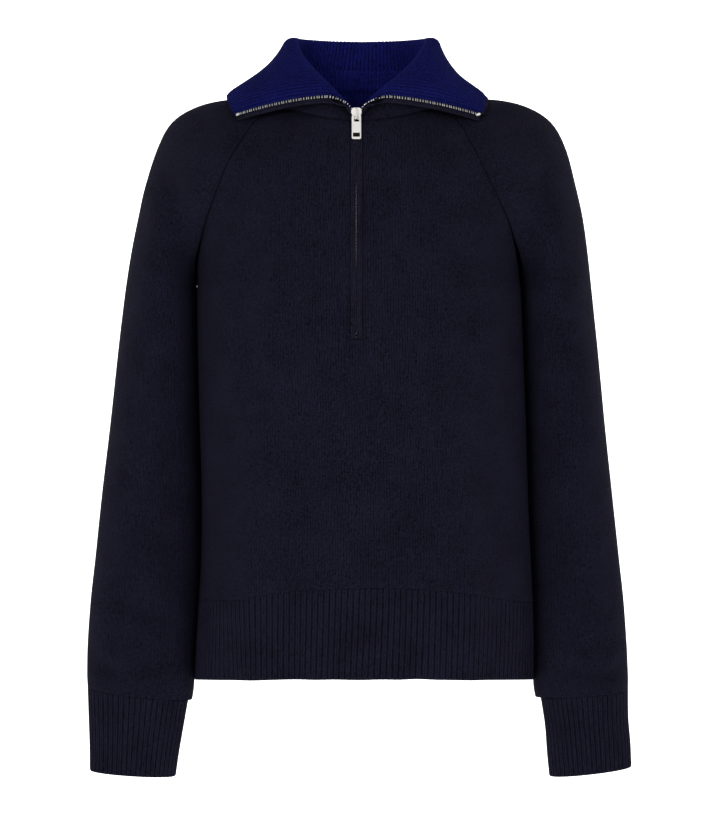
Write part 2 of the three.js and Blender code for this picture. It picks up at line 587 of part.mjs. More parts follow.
function hemBand(front) {
  const rows = 2;
  const ribGrid = [];
  const plainGrid = [];
  const edge = (share) => sideDip(share, HEM_EDGE.sides, front ? HEM_EDGE.front : HEM_EDGE.back);
  const top = (share) => sideDip(share, RIB_TOP.sides, front ? RIB_TOP.front : RIB_TOP.back) - SEAM / 2;
  const cells = HEM_RIBS * 2;
  for (let i = 0; i <= rows; i += 1) {
    const row = Array.from({ length: cells + 1 }, (_, j) => {
      const share = j / cells;
      return torsoPoint(share, mix(top(share), edge(share), i / rows), front);
    });
    if (!front) row.reverse();
    ribGrid.push(row);
  }
  const normals = gridNormals(ribGrid, () => false);
  ribGrid.forEach((row, i) => {
    plainGrid.push(row.filter((_, j) => j % 4 === 0)
      .map((p, k) => p.clone().addScaledVector(normals[i][k * 4], -KNIT)));
    row.forEach((p, j) => p.addScaledVector(normals[i][j], j % 2 ? 0 : -RIB_HEIGHT));
  });
  return ribbedWall(ribGrid, plainGrid, false);
}

// Sleeves and cuffs.
const CAP_ROWS = SEAM_STEPS.length;
const TUBE_ROWS = 9;
const SLEEVE_CELLS = 18;

function sleeveGrid(side) {
  const grid = [];
  for (const step of SEAM_STEPS) grid.push(spaced(capLine(step, side), SLEEVE_CELLS));
  for (let i = 0; i <= TUBE_ROWS; i += 1) {
    const end = CUFF_ROW - CUFF_GAP;
    grid.push(spaced(tubeLine(end * i / TUBE_ROWS, side), SLEEVE_CELLS));
  }
  const normals = gridNormals(grid, (i) => i >= CAP_ROWS);
  const flip = side === 'left' ? -1 : 1;
  grid.forEach((row, i) => row.forEach((p, j) => {
    p.addScaledVector(normals[i][j], -flip * creaseDepth(ARMPIT_CREASES[side], p));
  }));
  if (side === 'left') grid.forEach((row) => row.reverse());
  return grid;
}

function sleeve(side) {
  const grid = sleeveGrid(side);
  grid.forEach((row, i) => {
    if (i >= CAP_ROWS) row[row.length - 1].copy(row[0]);
  });
  return wall(grid, KNIT, { closed: (i) => i >= CAP_ROWS });
}

function cuff(side) {
  const rows = 2;
  const cells = CUFF_RIBS * 2;
  const ribGrid = [];
  const plainGrid = [];
  for (let i = 0; i <= rows; i += 1) {
    const row = spaced(tubeLine(mix(CUFF_ROW + CUFF_GAP, LAST_ROW, i / rows), side), cells);
    row[cells].copy(row[0]);
    if (side === 'left') row.reverse();
    ribGrid.push(row);
  }
  const normals = gridNormals(ribGrid, () => true);
  ribGrid.forEach((row, i) => {
    plainGrid.push(row.filter((_, j) => j % 4 === 0)
      .map((p, k) => p.clone().addScaledVector(normals[i][k * 4], -KNIT)));
  });
  ribGrid.forEach((row, i) => row.forEach((p, j) => {
    p.addScaledVector(normals[i][j], j % 2 ? 0 : -RIB_HEIGHT);
  }));
  return ribbedWall(ribGrid, plainGrid, true);
}

// The collar's middle surface, between its plies. Half the neck seam runs from the zip over the raglan
// seams to the middle of the back.
function neckHalf(side) {
  const front = yokeLine(0, true);
  const back = yokeLine(0, false);
  const share = shareAtX(front, ZIP_X);
  const steps = 40;
  const pick = (line, from, to) => Array.from({ length: steps + 1 },
    (_, i) => along(line, mix(from, to, i / steps)));
  const cap = capLine(0, side);
  if (side === 'left') return joined(pick(front, share, 0), cap, pick(back, 0, 0.5));
  return joined(pick(front, share, 1), cap, pick(back, 1, 0.5));
}
const NECK = { left: neckHalf('left'), right: neckHalf('right') };

function collarCurves(at, side) {
  const row = smoothRow(COLLAR, 'at', at);
  const x = (left, mid) => (side === 'left' ? left : 2 * mid - left);
  const seam = along(NECK[side], at);
  const inward = point(row.mid - seam.x, NECK_MIDDLE_Y - seam.y, 0).normalize();
  const top = point(x(row.topX, row.mid), row.topY, row.topZ);
  const over = point(x(row.overX, row.mid), row.overY, row.overZ);
  const edge = point(x(row.edgeX, row.edgeMid), row.edgeY, row.edgeZ);
  const lift = mix(COLLAR_LIFT.front, COLLAR_LIFT.back, THREE.MathUtils.smoothstep(at, 0, 0.5));
  const base = seam.clone().addScaledVector(inward, COLLAR_INSET);
  const rise = top.clone().sub(base).normalize();
  const foot = base.addScaledVector(rise, lift);
  const fall = edge.clone().sub(over);
  const outward = over.clone().sub(top);
  const swell = outward.addScaledVector(fall, -outward.dot(fall) / fall.lengthSq()).normalize();
  if (at < LAPEL.until) {
    swell.lerp(point(0, LAPEL.forward, LAPEL.upward), 1 - at / LAPEL.until).normalize();
  }
  const onFall = (share, out) => over.clone().addScaledVector(fall, share)
    .addScaledVector(swell, row.bulge * out);
  const near = onFall(FALL_SHAPE.nearAt, FALL_SHAPE.nearOut);
  const far = onFall(FALL_SHAPE.farAt, FALL_SHAPE.farOut);
  const arrive = over.clone().sub(near).normalize();
  const handle = row.bend * TURN_FULLNESS;
  const turn = new THREE.CubicBezierCurve3(top, top.clone().addScaledVector(rise, handle),
    over.clone().addScaledVector(arrive, handle), over);
  return { foot, top, turn, drop: new THREE.CubicBezierCurve3(over, near, far, edge) };
}

const STAND_CELLS = 2;
const TURN_CELLS = 3;
const FALL_CELLS = 4;

// A line up one half of the collar's wall, from the neck seam to the free edge.
function wallLine(at, side) {
  const { foot, top, turn, drop } = collarCurves(at, side);
  return joined(spaced([foot, top], STAND_CELLS), turn.getPoints(TURN_CELLS),
    spaced(drop.getPoints(20), FALL_CELLS));
}

// The same line on the zip's middle, with the direction across it towards the other half.
const BESIDE_ZIP = 0.012;

function zipEdge(side) {
  const beside = wallLine(BESIDE_ZIP, side);
  return wallLine(0, side).map((p, i) => {
    const straight = i <= STAND_CELLS;
    const across = straight ? point(side === 'left' ? 1 : -1, 0, 0) : p.clone().sub(beside[i]);
    return { p, across: across.normalize() };
  });
}

// The plies draw back further where the zip twists over the roll, by this much on each row.
const TURN_ROOM = [0, 0.5, 1, 1, 1, 0.5];
const COLLAR_LENGTH = lengths(NECK.left).at(-1) + lengths(NECK.right).at(-1);

// The collar as a grid that faces the neck, from the right zip edge round to the left one. The plies
// end a little short of the zip.
function collarGrid(cells) {
  const trim = PLY_TRIM / COLLAR_LENGTH;
  const lines = Array.from({ length: cells + 1 }, (_, j) => {
    if (j === 0 || j === cells) {
      return zipEdge(j ? 'left' : 'right').map(({ p, across }, i) => (
        p.clone().addScaledVector(across, -PLY_TRIM - (TURN_ROOM[i] ?? 0))));
    }
    const around = mix(trim, 1 - trim, j / cells);
    return around <= 0.5 ? wallLine(2 * around, 'right') : wallLine(2 * (1 - around), 'left');
  });
  return lines[0].map((_, i) => lines.map((line) => line[i]));
}

function offsetGrid(grid, normals, by) {
  return grid.map((row, i) => row.map((p, j) => p.clone().addScaledVector(normals[i][j], by)));
}

function collarFacing() {
  const fine = collarGrid(COLLAR_RIBS * 2);
  const coarse = collarGrid(COLLAR_RIBS / 2);
  const normals = gridNormals(fine, () => false);
  const plain = offsetGrid(coarse, gridNormals(coarse, () => false), SEAM / 2);
  const ribs = fine.map((row, i) => row.map((p, j) => {
    const height = SEAM / 2 + PLY - (j % 2 ? 0 : COLLAR_RIB_HEIGHT);
    return p.clone().addScaledVector(normals[i][j], height);
  }));
  return ribbedWall(ribs, plain, false);
}

function collarOuter() {
  const grid = collarGrid(COLLAR_RIBS / 2);
  const normals = gridNormals(grid, () => false);
  const turned = (by) => offsetGrid(grid, normals, by).map((row) => row.reverse());
  return wall(turned(-SEAM / 2 - PLY), PLY, { inside: turned(-SEAM / 2) });
}

// The zip's path, from the foot of the placket up the middle of the front and out along the collar's
// edge, with the direction across it towards the other half and the direction to its inner side.
const OPEN_FROM_Z = -22;
const LAYERS_TURN_Z = -48;
const COLLAR_ZIP_ROWS = 11;
const NARROW_HALF = 4.2; // half of the band and of the tape along the collar
const PAST_MIDDLE = 2;
const PLY_ROOM = 1.2; // clearance of the zip where it twists over the roll, in the plies
const BAND_ROOM = 0.3; // and in its band
const NARROW_FROM_Z = -66;
const ZIP_LEVELS = [ZIP_FOOT_Z + SEAM, -215, -187, -160, -135, -110, -85, -65, -48, -36, -27, -22];

function zipPath(side) {
  const sign = side === 'left' ? 1 : -1;
  const rows = [];
  for (const z of ZIP_LEVELS) {
    const p = frontAt(z);
    p.y += COLLAR_INSET;
    rows.push({ p, across: point(sign, 0, 0) });
  }
  const openFrom = rows.length;
  rows.push(...zipEdge(side));
  rows.forEach((row, i) => {
    const before = rows[Math.max(0, i - 1)].p;
    const after = rows[Math.min(rows.length - 1, i + 1)].p;
    row.up = after.clone().sub(before).normalize();
    row.across.addScaledVector(row.up, -row.across.dot(row.up)).normalize();
    row.inner = row.up.clone().cross(row.across).multiplyScalar(sign).normalize();
    row.open = i >= openFrom;
    row.layers = row.open ? 1 : THREE.MathUtils.smoothstep(row.p.z, LAYERS_TURN_Z, OPEN_FROM_Z);
    row.narrow = row.open ? 1 : THREE.MathUtils.smoothstep(row.p.z, NARROW_FROM_Z, LAYERS_TURN_Z);
  });
  return { rows, sign };
}

// The front's outer face on the zip's centre line, at a height.
function frontAt(z) {
  if (z <= UNDERARM_Z) {
    const line = torsoLine(z, true);
    return along(line, shareAtX(line, ZIP_X));
  }
  let low = 0;
  let high = 8;
  for (let i = 0; i < 24; i += 1) {
    const step = (low + high) / 2;
    if (smoothRow(YOKE, 'step', step).chestZ > z) low = step;
    else high = step;
  }
  const line = yokeLine(low, true);
  return along(line, shareAtX(line, ZIP_X));
}

// A strip along the zip: section gives its corners as distances across and inwards, the same number
// for each row.
function strip({ rows, sign }, section) {
  const solid = new Solid();
  const rings = rows.map((row) => section(row).map(([across, inner]) => solid.vertex(row.p.clone()
    .addScaledVector(row.across, across).addScaledVector(row.inner, inner))));
  const count = rings[0].length;
  const face = (a, b, c, d) => (sign > 0 ? solid.quad(a, b, c, d) : solid.quad(a, d, c, b));
  for (let i = 0; i < rings.length - 1; i += 1) {
    for (let k = 0; k < count; k += 1) {
      const next = (k + 1) % count;
      face(rings[i][k], rings[i][next], rings[i + 1][next], rings[i + 1][k]);
    }
  }
  const flat = (row) => section(row).map(([across, inner]) => new THREE.Vector2(across, inner));
  const cap = (index, up) => {
    for (const [a, b, c] of THREE.ShapeUtils.triangulateShape(flat(rows[index]), [])) {
      const ids = [rings[index][a], rings[index][b], rings[index][c]];
      if (up !== (sign > 0)) ids.reverse();
      solid.triangle(...ids);
    }
  };
  cap(0, false);
  cap(rows.length - 1, true);
  return solid.geometry();
}

function layer(row, name) {
  return mix(PLACKET_LAYERS[name], COLLAR_LAYERS[name], row.layers);
}

// Beside the slider each band draws back to leave it room.
const BAND_EDGE = 0.35;
const SLIDER_ROOM = { below: 2, above: 3, beside: 9, half: 5.3 };

function bandEdge(row) {
  const out = Math.abs(row.p.x - ZIP_X);
  const { below, above, beside, half } = SLIDER_ROOM;
  const near = row.p.z > SLIDER.low - below && row.p.z < SLIDER.high + above && out < beside;
  return near ? -Math.max(BAND_EDGE, half - out) : -BAND_EDGE;
}

function zipBand(side) {
  return strip(zipPath(side), (row) => {
    const far = row.open ? -NARROW_HALF : BAND_EDGE - SLIT_HALF;
    return [[far, layer(row, 'bandFrom')], [bandEdge(row), layer(row, 'bandFrom')],
      [bandEdge(row), layer(row, 'bandTo')], [far, layer(row, 'bandTo')]];
  });
}

function zipHalf(side) {
  return strip(zipPath(side), (row) => {
    const tape = -mix(TAPE_WIDTH, NARROW_HALF, row.narrow);
    const low = layer(row, 'tape');
    const high = low + TAPE_THICK;
    return [[tape, low], [-CHAIN_WIDTH, low], [-CHAIN_WIDTH, layer(row, 'chainFrom')],
      [-SEAM / 2, layer(row, 'chainFrom')], [-SEAM / 2, layer(row, 'chainTo')],
      [-CHAIN_WIDTH, layer(row, 'chainTo')], [-CHAIN_WIDTH, high], [tape, high]];
  });
}

// The room along the collar that a half of the zip takes out of its band, or both out of the plies.
function zipRoom(side, firstLayer, margin) {
  const path = zipPath(side);
  path.rows = path.rows.slice(-COLLAR_ZIP_ROWS);
  return strip(path, (row) => {
    const far = -NARROW_HALF - margin;
    const from = layer(row, firstLayer) - margin;
    const to = layer(row, 'chainTo') + margin;
    return [[far, from], [PAST_MIDDLE, from], [PAST_MIDDLE, to], [far, to]];
  });
}

// The slider: a front plate, a narrower back plate and the post between them that parts the two
// halves, with a bridge on the front plate. The zip runs between the plates.
const WALL_Y = -96.1; // depth of the wall's middle at the slider

function upright(shape, from, to) {
  const made = new THREE.ExtrudeGeometry(shape, { depth: to - from, bevelEnabled: false, curveSegments: 6 });
  return made.rotateX(Math.PI / 2).translate(0, to, 0);
}

function plateShape(outline) {
  const right = outline.map(({ z, half }) => new THREE.Vector2(ZIP_X + half, z));
  const left = [...outline].reverse().map(({ z, half }) => new THREE.Vector2(ZIP_X - half, z));
  return new THREE.Shape([...right, ...left]);
}

function boxBetween(low, high) {
  const size = high.clone().sub(low);
  const middle = low.clone().add(high).multiplyScalar(0.5);
  return new THREE.BoxGeometry(size.x, size.y, size.z).translate(middle.x, middle.y, middle.z);
}

const PLATE_FRONT_Y = WALL_Y + COLLAR_LAYERS.chainFrom - SEAM - SLIDER.plate;

function slider() {
  const plateBack = PLATE_FRONT_Y + SLIDER.plate;
  const backFrom = WALL_Y + COLLAR_LAYERS.chainTo + SEAM + SLIDER.slack;
  const backTo = backFrom + SLIDER.plate;
  const front = upright(plateShape(SLIDER_OUTLINE), PLATE_FRONT_Y, plateBack);
  const back = upright(plateShape(SLIDER_OUTLINE.map(({ z, half }) => (
    { z, half: Math.min(half, SLIDER.backHalf) }))), backFrom, backTo);
  const post = boxBetween(point(ZIP_X - SLIDER.postHalf, plateBack - SLIDER.lap, SLIDER.postLow),
    point(ZIP_X + SLIDER.postHalf, backFrom + SLIDER.lap, SLIDER.postHigh));
  const { half, low, high, out, bar, corner, inCorner, lap } = BRIDGE;
  const reach = -out + bar;
  const flat = (corners) => corners.map(([y, z]) => new THREE.Vector2(y, z));
  const loop = new THREE.Shape(flat([[lap, low], [lap, high], [-out + corner, high],
    [-out, high - corner], [-out, low + corner], [-out + corner, low]]));
  loop.holes.push(new THREE.Path(flat([[0, low + bar], [0, high - bar], [reach + inCorner, high - bar],
    [reach, high - bar - inCorner], [reach, low + bar + inCorner], [reach + inCorner, low + bar]])));
  const bridge = new THREE.ExtrudeGeometry(loop, { depth: 2 * half, bevelEnabled: false });
  // Turned so that the shape's own x runs along y, and its depth along x.
  bridge.applyMatrix4(new THREE.Matrix4().makeBasis(point(0, 1, 0), point(0, 0, 1), point(1, 0, 0)));
  bridge.translate(ZIP_X - half, PLATE_FRONT_Y, 0);
  return geometryFrom([back, post, bridge].reduce((solid, piece) => solid.add(solidFrom(piece)),
    solidFrom(front)));
}

// The pull tab hangs from the bridge by the bar above its eye, and leans out over the knit.
function pullTab() {
  const { half, length, thick, bar, eyeHalf, eyeEnd, corner } = TAB;
  const outline = new THREE.Shape([[-half + corner, bar], [half - corner, bar], [half, bar - corner],
    [half, -length + corner], [half - corner, -length], [-half + corner, -length],
    [-half, -length + corner], [-half, bar - corner]].map(([x, z]) => new THREE.Vector2(x, z)).reverse());
  const window = (side, top, low) => new THREE.Path([[-side, low], [side, low], [side, top], [-side, top]]
    .map(([x, z]) => new THREE.Vector2(x, z)));
  outline.holes.push(window(eyeHalf, -bar, -eyeEnd), window(TAB_SLOT.half, -TAB_SLOT.from, -TAB_SLOT.to));
  const made = upright(outline, -thick / 2, thick / 2);
  made.rotateX(-THREE.MathUtils.degToRad(PIVOT.lean));
  return made;
}

const navy = { color: 0x161623, roughness: 0.95, metalness: 0 };
const cobalt = { color: 0x12116e, roughness: 0.95, metalness: 0 };
const steel = { color: 0xc8c6c2, roughness: 0.3, metalness: 1 };

const group = new THREE.Group();
function add(name, geometry, finish) {
  const mesh = new THREE.Mesh(geometry, new THREE.MeshStandardMaterial(finish));
  mesh.name = name;
  group.add(mesh);
  return mesh;
}

add('front', frontPanel(), navy);
add('back', wall(bodyGrid(false), KNIT), navy);
add('sleeve_left', sleeve('left'), navy);
add('sleeve_right', sleeve('right'), navy);
add('hem_front', hemBand(true), navy);
add('hem_back', hemBand(false), navy);
add('cuff_left', cuff('left'), navy);
add('cuff_right', cuff('right'), navy);
const zipRooms = ['left', 'right'].map((side) => zipRoom(side, 'bandFrom', PLY_ROOM));
add('collar_outer', cut(collarOuter(), zipRooms), navy);
add('collar_facing', cut(collarFacing(), zipRooms), cobalt);
add('zip_band_left', cut(zipBand('left'), [zipRoom('left', 'chainFrom', BAND_ROOM)]), navy);
add('zip_band_right', cut(zipBand('right'), [zipRoom('right', 'chainFrom', BAND_ROOM)]), navy);
add('zip_left', zipHalf('left'), steel);
add('zip_right', zipHalf('right'), steel);
add('slider', slider(), steel);
add('pull_tab', pullTab(), steel).position.set(ZIP_X, PIVOT.y, PIVOT.z);

export default group;
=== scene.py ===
# %% [markdown]
# A quarter-zip sweater in fine navy wool, shown as it looks on a wearer who isn't there. The packed
# model is loaded first, and the places and sizes below follow it. Each later step makes one kind of
# piece:
# the plain knit panels, the ribbed bands, the folded collar, the zip, and the small sewn details.

import bmesh
import bpy
import numpy as np
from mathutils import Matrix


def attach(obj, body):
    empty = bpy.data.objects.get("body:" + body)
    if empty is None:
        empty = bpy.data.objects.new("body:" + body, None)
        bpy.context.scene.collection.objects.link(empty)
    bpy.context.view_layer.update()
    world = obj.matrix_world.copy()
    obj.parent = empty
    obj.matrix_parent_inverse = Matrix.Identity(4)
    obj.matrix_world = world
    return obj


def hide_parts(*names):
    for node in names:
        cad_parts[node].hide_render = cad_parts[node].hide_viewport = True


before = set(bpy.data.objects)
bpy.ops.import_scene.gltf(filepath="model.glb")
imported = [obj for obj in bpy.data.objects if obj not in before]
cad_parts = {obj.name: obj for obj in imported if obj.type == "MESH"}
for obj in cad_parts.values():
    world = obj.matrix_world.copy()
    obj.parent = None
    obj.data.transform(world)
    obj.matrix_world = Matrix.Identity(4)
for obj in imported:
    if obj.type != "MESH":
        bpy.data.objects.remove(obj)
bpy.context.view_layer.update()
MM = 0.001
BODY = "sweater"

# %% [markdown]
# The camera stands where the photographer stood: level, three metres in front of the chest, with a long
# lens so that the sleeves hang straight. The light is a white studio with large soft boxes, because dark
# wool only shows its knit when the light comes from the front and a little from above.

# %% Camera, colours and light
scene = bpy.context.scene
scene.view_settings.view_transform = "Standard"
VIEW_X, VIEW_Z, VIEW_FAR = 2.6, -310, 3000
PHOTO_HEIGHT_MM = 814 * 1.05
SENSOR = 36
WORLD_LIGHT = 0.35

camera = bpy.data.objects.new("camera", bpy.data.cameras.new("camera"))
camera.location = (VIEW_X * MM, -VIEW_FAR * MM, VIEW_Z * MM)
camera.rotation_euler = (np.pi / 2, 0, 0)
camera.data.sensor_width = SENSOR
camera.data.lens = SENSOR * VIEW_FAR / PHOTO_HEIGHT_MM
camera.data.clip_end = 60
scene.collection.objects.link(camera)
scene.camera = camera

LIGHTS = [
    {"name": "key", "at": (-1.3, -2.8, 0.7), "aim": (0, 0, -0.25), "size": 1.1, "watts": 44},
    {"name": "fill", "at": (1.7, -2.7, 0.2), "aim": (0, 0, -0.3), "size": 1.3, "watts": 26},
    {"name": "top", "at": (0.0, -0.9, 2.2), "aim": (0, 0, 0), "size": 1.2, "watts": 12},
    {"name": "rim_left", "at": (-2.0, 1.2, 0.4), "aim": (0, 0, -0.2), "size": 1.2, "watts": 12},
    {"name": "rim_right", "at": (2.0, 1.2, 0.4), "aim": (0, 0, -0.2), "size": 1.2, "watts": 12},
]


def aim(at, target):
    from mathutils import Vector

    return (Vector(target) - Vector(at)).to_track_quat("-Z", "Y").to_euler()


for light in LIGHTS:
    data = bpy.data.lights.new(light["name"], "AREA")
    data.energy = light["watts"]
    data.size = light["size"]
    lamp = bpy.data.objects.new(light["name"], data)
    lamp.location = light["at"]
    lamp.rotation_euler = aim(light["at"], light["aim"])
    scene.collection.objects.link(lamp)

world = bpy.data.worlds.new("studio")
world.use_nodes = True
world.node_tree.nodes["Background"].inputs["Color"].default_value = (1, 1, 1, 1)
world.node_tree.nodes["Background"].inputs["Strength"].default_value = WORLD_LIGHT
scene.world = world
print("camera lens in mm:", round(camera.data.lens, 1), "lights:", len(LIGHTS))

# %% [markdown]
# Every surface here follows smooth curves through a few measured places, so the helpers come next. A
# table has named columns, and `smooth` gives any column between its rows. `bezier` draws a curve
# through arrays of points at once, and `spread` takes points at chosen shares of each curve's length.


# %% Curves from tables
def column(table, name):
    return np.array([row[name] for row in table], float)


def smooth(table, key, at):
    """Every column of a table, as a smooth curve over its key column."""
    keys = column(table, key)
    at = np.atleast_1d(np.asarray(at, float))
    sign = 1 if keys[-1] > keys[0] else -1
    i = np.clip(np.searchsorted(sign * keys, sign * at) - 1, 0, len(keys) - 2)
    before = np.maximum(np.arange(len(keys)) - 1, 0)
    after = np.minimum(np.arange(len(keys)) + 1, len(keys) - 1)
    span = keys[i + 1] - keys[i]
    t = np.clip((at - keys[i]) / span, 0, 1)
    out = {}
    for name in table[0]:
        values = column(table, name)
        slope = (values[after] - values[before]) / (keys[after] - keys[before])
        out[name] = (values[i] * (2 * t**3 - 3 * t**2 + 1) + slope[i] * span * (t**3 - 2 * t**2 + t)
                     + values[i + 1] * (3 * t**2 - 2 * t**3) + slope[i + 1] * span * (t**3 - t**2))
    return out


def mix(a, b, t):
    return a + (b - a) * t


def ease(value, low, high):
    t = np.clip((value - low) / (high - low), 0, 1)
    return t * t * (3 - 2 * t)


def xyz(x, y, z):
    return np.stack(np.broadcast_arrays(*(np.asarray(v, float) for v in (x, y, z))), axis=-1)


def unit(v):
    return v / np.maximum(np.linalg.norm(v, axis=-1, keepdims=True), 1e-9)


def bezier(a, b, c, d, steps=24):
    t = np.linspace(0, 1, steps + 1)[:, None]
    a, b, c, d = (p[..., None, :] for p in (a, b, c, d))
    return (1 - t)**3 * a + 3 * t * (1 - t)**2 * b + 3 * t**2 * (1 - t) * c + t**3 * d


def travel(lines):
    """Length along each line up to each of its points."""
    steps = np.linalg.norm(np.diff(lines, axis=-2), axis=-1)
    return np.concatenate([np.zeros(steps.shape[:-1] + (1,)), np.cumsum(steps, axis=-1)], axis=-1)


def pick(lines, shares):
    """One point on each line, at a share of its length."""
    sums = travel(lines)
    target = np.clip(shares, 0, 1) * sums[:, -1]
    i = np.clip((sums < target[:, None]).sum(axis=1), 1, lines.shape[1] - 1)
    n = np.arange(len(lines))
    t = ((target - sums[n, i - 1]) / (sums[n, i] - sums[n, i - 1]))[:, None]
    return lines[n, i - 1] * (1 - t) + lines[n, i] * t


def spread(lines, shares):
    rows, many = shares.shape
    return pick(np.repeat(lines, many, axis=0), shares.ravel()).reshape(rows, many, 3)


def resample(line, count):
    return spread(line[None], np.linspace(0, 1, count)[None])[0]


def share_at_x(line, x):
    sums = travel(line)
    return np.interp(x, line[:, 0], sums) / sums[-1]


print("curve helpers ready")

# %% [markdown]
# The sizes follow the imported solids, in millimetres, apart from small fits such as these: the torso is
# up to 2.7 mm wider at its left side near the hem, and the ribs are shallower. A raglan sweater's body
# and sleeves share one slanting seam from the neck to the underarm, so the yoke table gives that seam
# once for both.

# %% The sweater's sizes
KNIT, PLY, SEAM = 2.4, 2.0, 0.3
RIB_HEIGHT, COLLAR_RIB_HEIGHT = 0.62, 0.55
HEM_RIBS, CUFF_RIBS, COLLAR_RIBS = 80, 48, 120
ZIP_X, SLIT_HALF, ZIP_FOOT_Z = -1, 6.1, -242
SIDE_Y, MID_X, UNDERARM_Z = -8, 1.6, -187
RING_SAG, CAP_RISE, SEAM_SPREAD, OVAL_PEAK = 0.12, 0.2, 0.12, 0.75
CAP_FULLNESS = {-1: 0.95, 1: 0.98}
RIB_TOP = {"front": -497, "back": -508, "sides": -513}
HEM_EDGE = {"front": -585, "back": -592, "sides": -595.5}
CUFF_ROW, LAST_ROW = 8, 11


def table(names, *rows):
    return [dict(zip(names.split(), row)) for row in rows]


YOKE = table(
    "step seamLeft seamRight frontY frontZ backY backZ ridgeLeft ridgeRight ridgeY ridgeZ chestY chestZ"
    " napeY napeZ bodyTurn sleeveTurn bodyReach midReach sleeveReach ridgeReach",
    (0, -84, 86, -54, -3, 36, 19, -90, 97, -10, 12, -97, -19.5, 66, 25, 45, 45, 28, 42, 11, 14),
    (1, -106, 104, -64, -17, 55, 1, -136, 145, -3, 12, -100.5, -30, 75, 9, 36, 36, 35, 50, 18, 25),
    (2, -119, 115, -77, -38, 70, -24, -170, 179, 2, 4.5, -106, -48, 84, -14, 30, 30, 42, 55, 22, 35),
    (3, -131.5, 125.5, -86, -59, 79, -52, -196, 204.5, 5, -12, -111.5, -67, 94, -44, 24, 22, 50, 60, 25,
     40),
    (4, -141.6, 137.7, -85, -84, 83, -80, -211, 219.5, 6, -40, -116.5, -90, 102, -76, 28, 8, 50, 66, 25,
     46),
    (5, -153.3, 152.4, -76, -114, 76, -112, -222.5, 229, 7, -76, -121.5, -117, 108, -110, 42, -10, 50, 74,
     25, 57),
    (6, -160, 160.2, -60, -136, 63, -135, -230.5, 236.8, 8, -111, -125, -138, 110, -134, 60, -35, 52, 84,
     34, 64),
    (7, -166, 166.5, -37, -160, 42, -159, -238, 242, 8, -149, -127.5, -161, 111, -158, 76, -62, 63, 102,
     54, 76),
    (8, -168, 171.2, -8, -187, -8, -187, -244, 246, 8, -187, -130, -187, 112, -187, 90, -90, 90, 119, 88,
     88),
)
TORSO = table(
    "z left right front back square",
    (-187, -168.0, 171.2, -130, 112, 0.72), (-250, -167.3, 173.6, -132, 110, 0.69),
    (-332, -165.2, 176.6, -132, 107, 0.66), (-400, -163.5, 178.6, -131, 106, 0.64),
    (-466, -164.2, 181.5, -130, 106, 0.64), (-510, -166.6, 183.5, -128, 107, 0.64),
    (-554, -169.4, 184.5, -125, 106, 0.64), (-600, -171.6, 184.5, -122, 104, 0.64),
)
SLEEVE_COLUMNS = "row outX outZ inX inZ inY y front back"
SLEEVE = {
    "left": table(
        SLEEVE_COLUMNS,
        (0, -244, -187, -168.8, -187, -8, 7, 63, 69), (1, -251.5, -250, -171.6, -252, 0, 8, 65, 66),
        (2, -260.5, -332, -169.6, -334, 8, 8, 62, 62), (3, -268.5, -399, -168, -401, 7, 7, 57, 57),
        (4, -275.5, -466, -168.6, -469, 6, 6, 51, 51), (5, -280.5, -512, -170.4, -516, 4, 4, 47, 47),
        (6, -283.5, -556, -173, -563, 2, 2, 43, 43), (7, -284, -588, -175, -600, 0, 0, 40, 40),
        (8, -283.3, -605, -177.5, -617, -1, -1, 37, 37), (9, -282.2, -636, -182.5, -646, -2, -2, 33, 33),
        (10, -281.2, -664, -187, -672, -2, -2, 31, 31), (11, -281, -691, -190.6, -697, -2, -2, 30, 30)),
    "right": table(
        SLEEVE_COLUMNS,
        (0, 246, -187, 172, -187, -8, 7, 63, 69), (1, 252.5, -250, 178.2, -252, 0, 8, 65, 66),
        (2, 260.4, -332, 181.6, -334, 8, 8, 62, 62), (3, 267.5, -399, 183.6, -401, 7, 7, 57, 57),
        (4, 274.6, -466, 186.6, -469, 6, 6, 51, 51), (5, 279.5, -512, 188.8, -516, 4, 4, 47, 47),
        (6, 282.5, -556, 190.2, -563, 2, 2, 43, 43), (7, 284, -590, 190, -598, 0, 0, 40, 40),
        (8, 284, -607, 192, -614, -1, -1, 37, 37), (9, 284.3, -636, 196.5, -644, -2, -2, 33, 33),
        (10, 286.5, -662, 198.5, -671, -2, -2, 31, 31), (11, 287.5, -687, 201, -697, -2, -2, 30, 30)),
}
COLLAR = table(
    "at topX topY topZ overX overY overZ mid edgeX edgeY edgeZ edgeMid bend near far",
    (0.0, -4.5, -95.9, -8, -33, -97, 4, -1, -125.4, -59, -10.8, 0.7, 6, 10.4, 7.2),
    (0.08, -25, -88, 10, -42, -89, 19, 0, -132.5, -47, 1.5, -0.5, 6, 11.7, 8.1),
    (0.18, -44, -68, 31, -57, -69, 35, 2, -135.5, -26, 13.5, -1.5, 6, 10, 7),
    (0.3, -58, -44, 50, -70, -46, 52, 2.5, -129, 1, 20, -2.5, 6, 3, 4),
    (0.42, -63.5, -20, 65, -75, -21, 66, 3.8, -115, 25, 19.5, -0.5, 6, 0.5, 3.5),
    (0.53, -64, -3, 70, -75, -1, 71, 4.5, -100, 46, 15, 1, 6, 0.5, 3.5),
    (0.7, -55, 30, 73, -65, 37, 73, 4.5, -74, 71, 9, 3.5, 6, 4, 4),
    (0.85, -30, 53, 74, -36, 63.5, 74, 4.5, -38, 85, 4, 4.5, 6, 6, 5),
    (1.0, 4.5, 60, 74, 4.5, 71.5, 74, 4.5, 4.5, 88.5, 2, 4.5, 6, 7.8, 5.4),
)
print("tables:", len(YOKE), "yoke rows,", len(TORSO), "torso rings,", len(COLLAR), "collar stations")

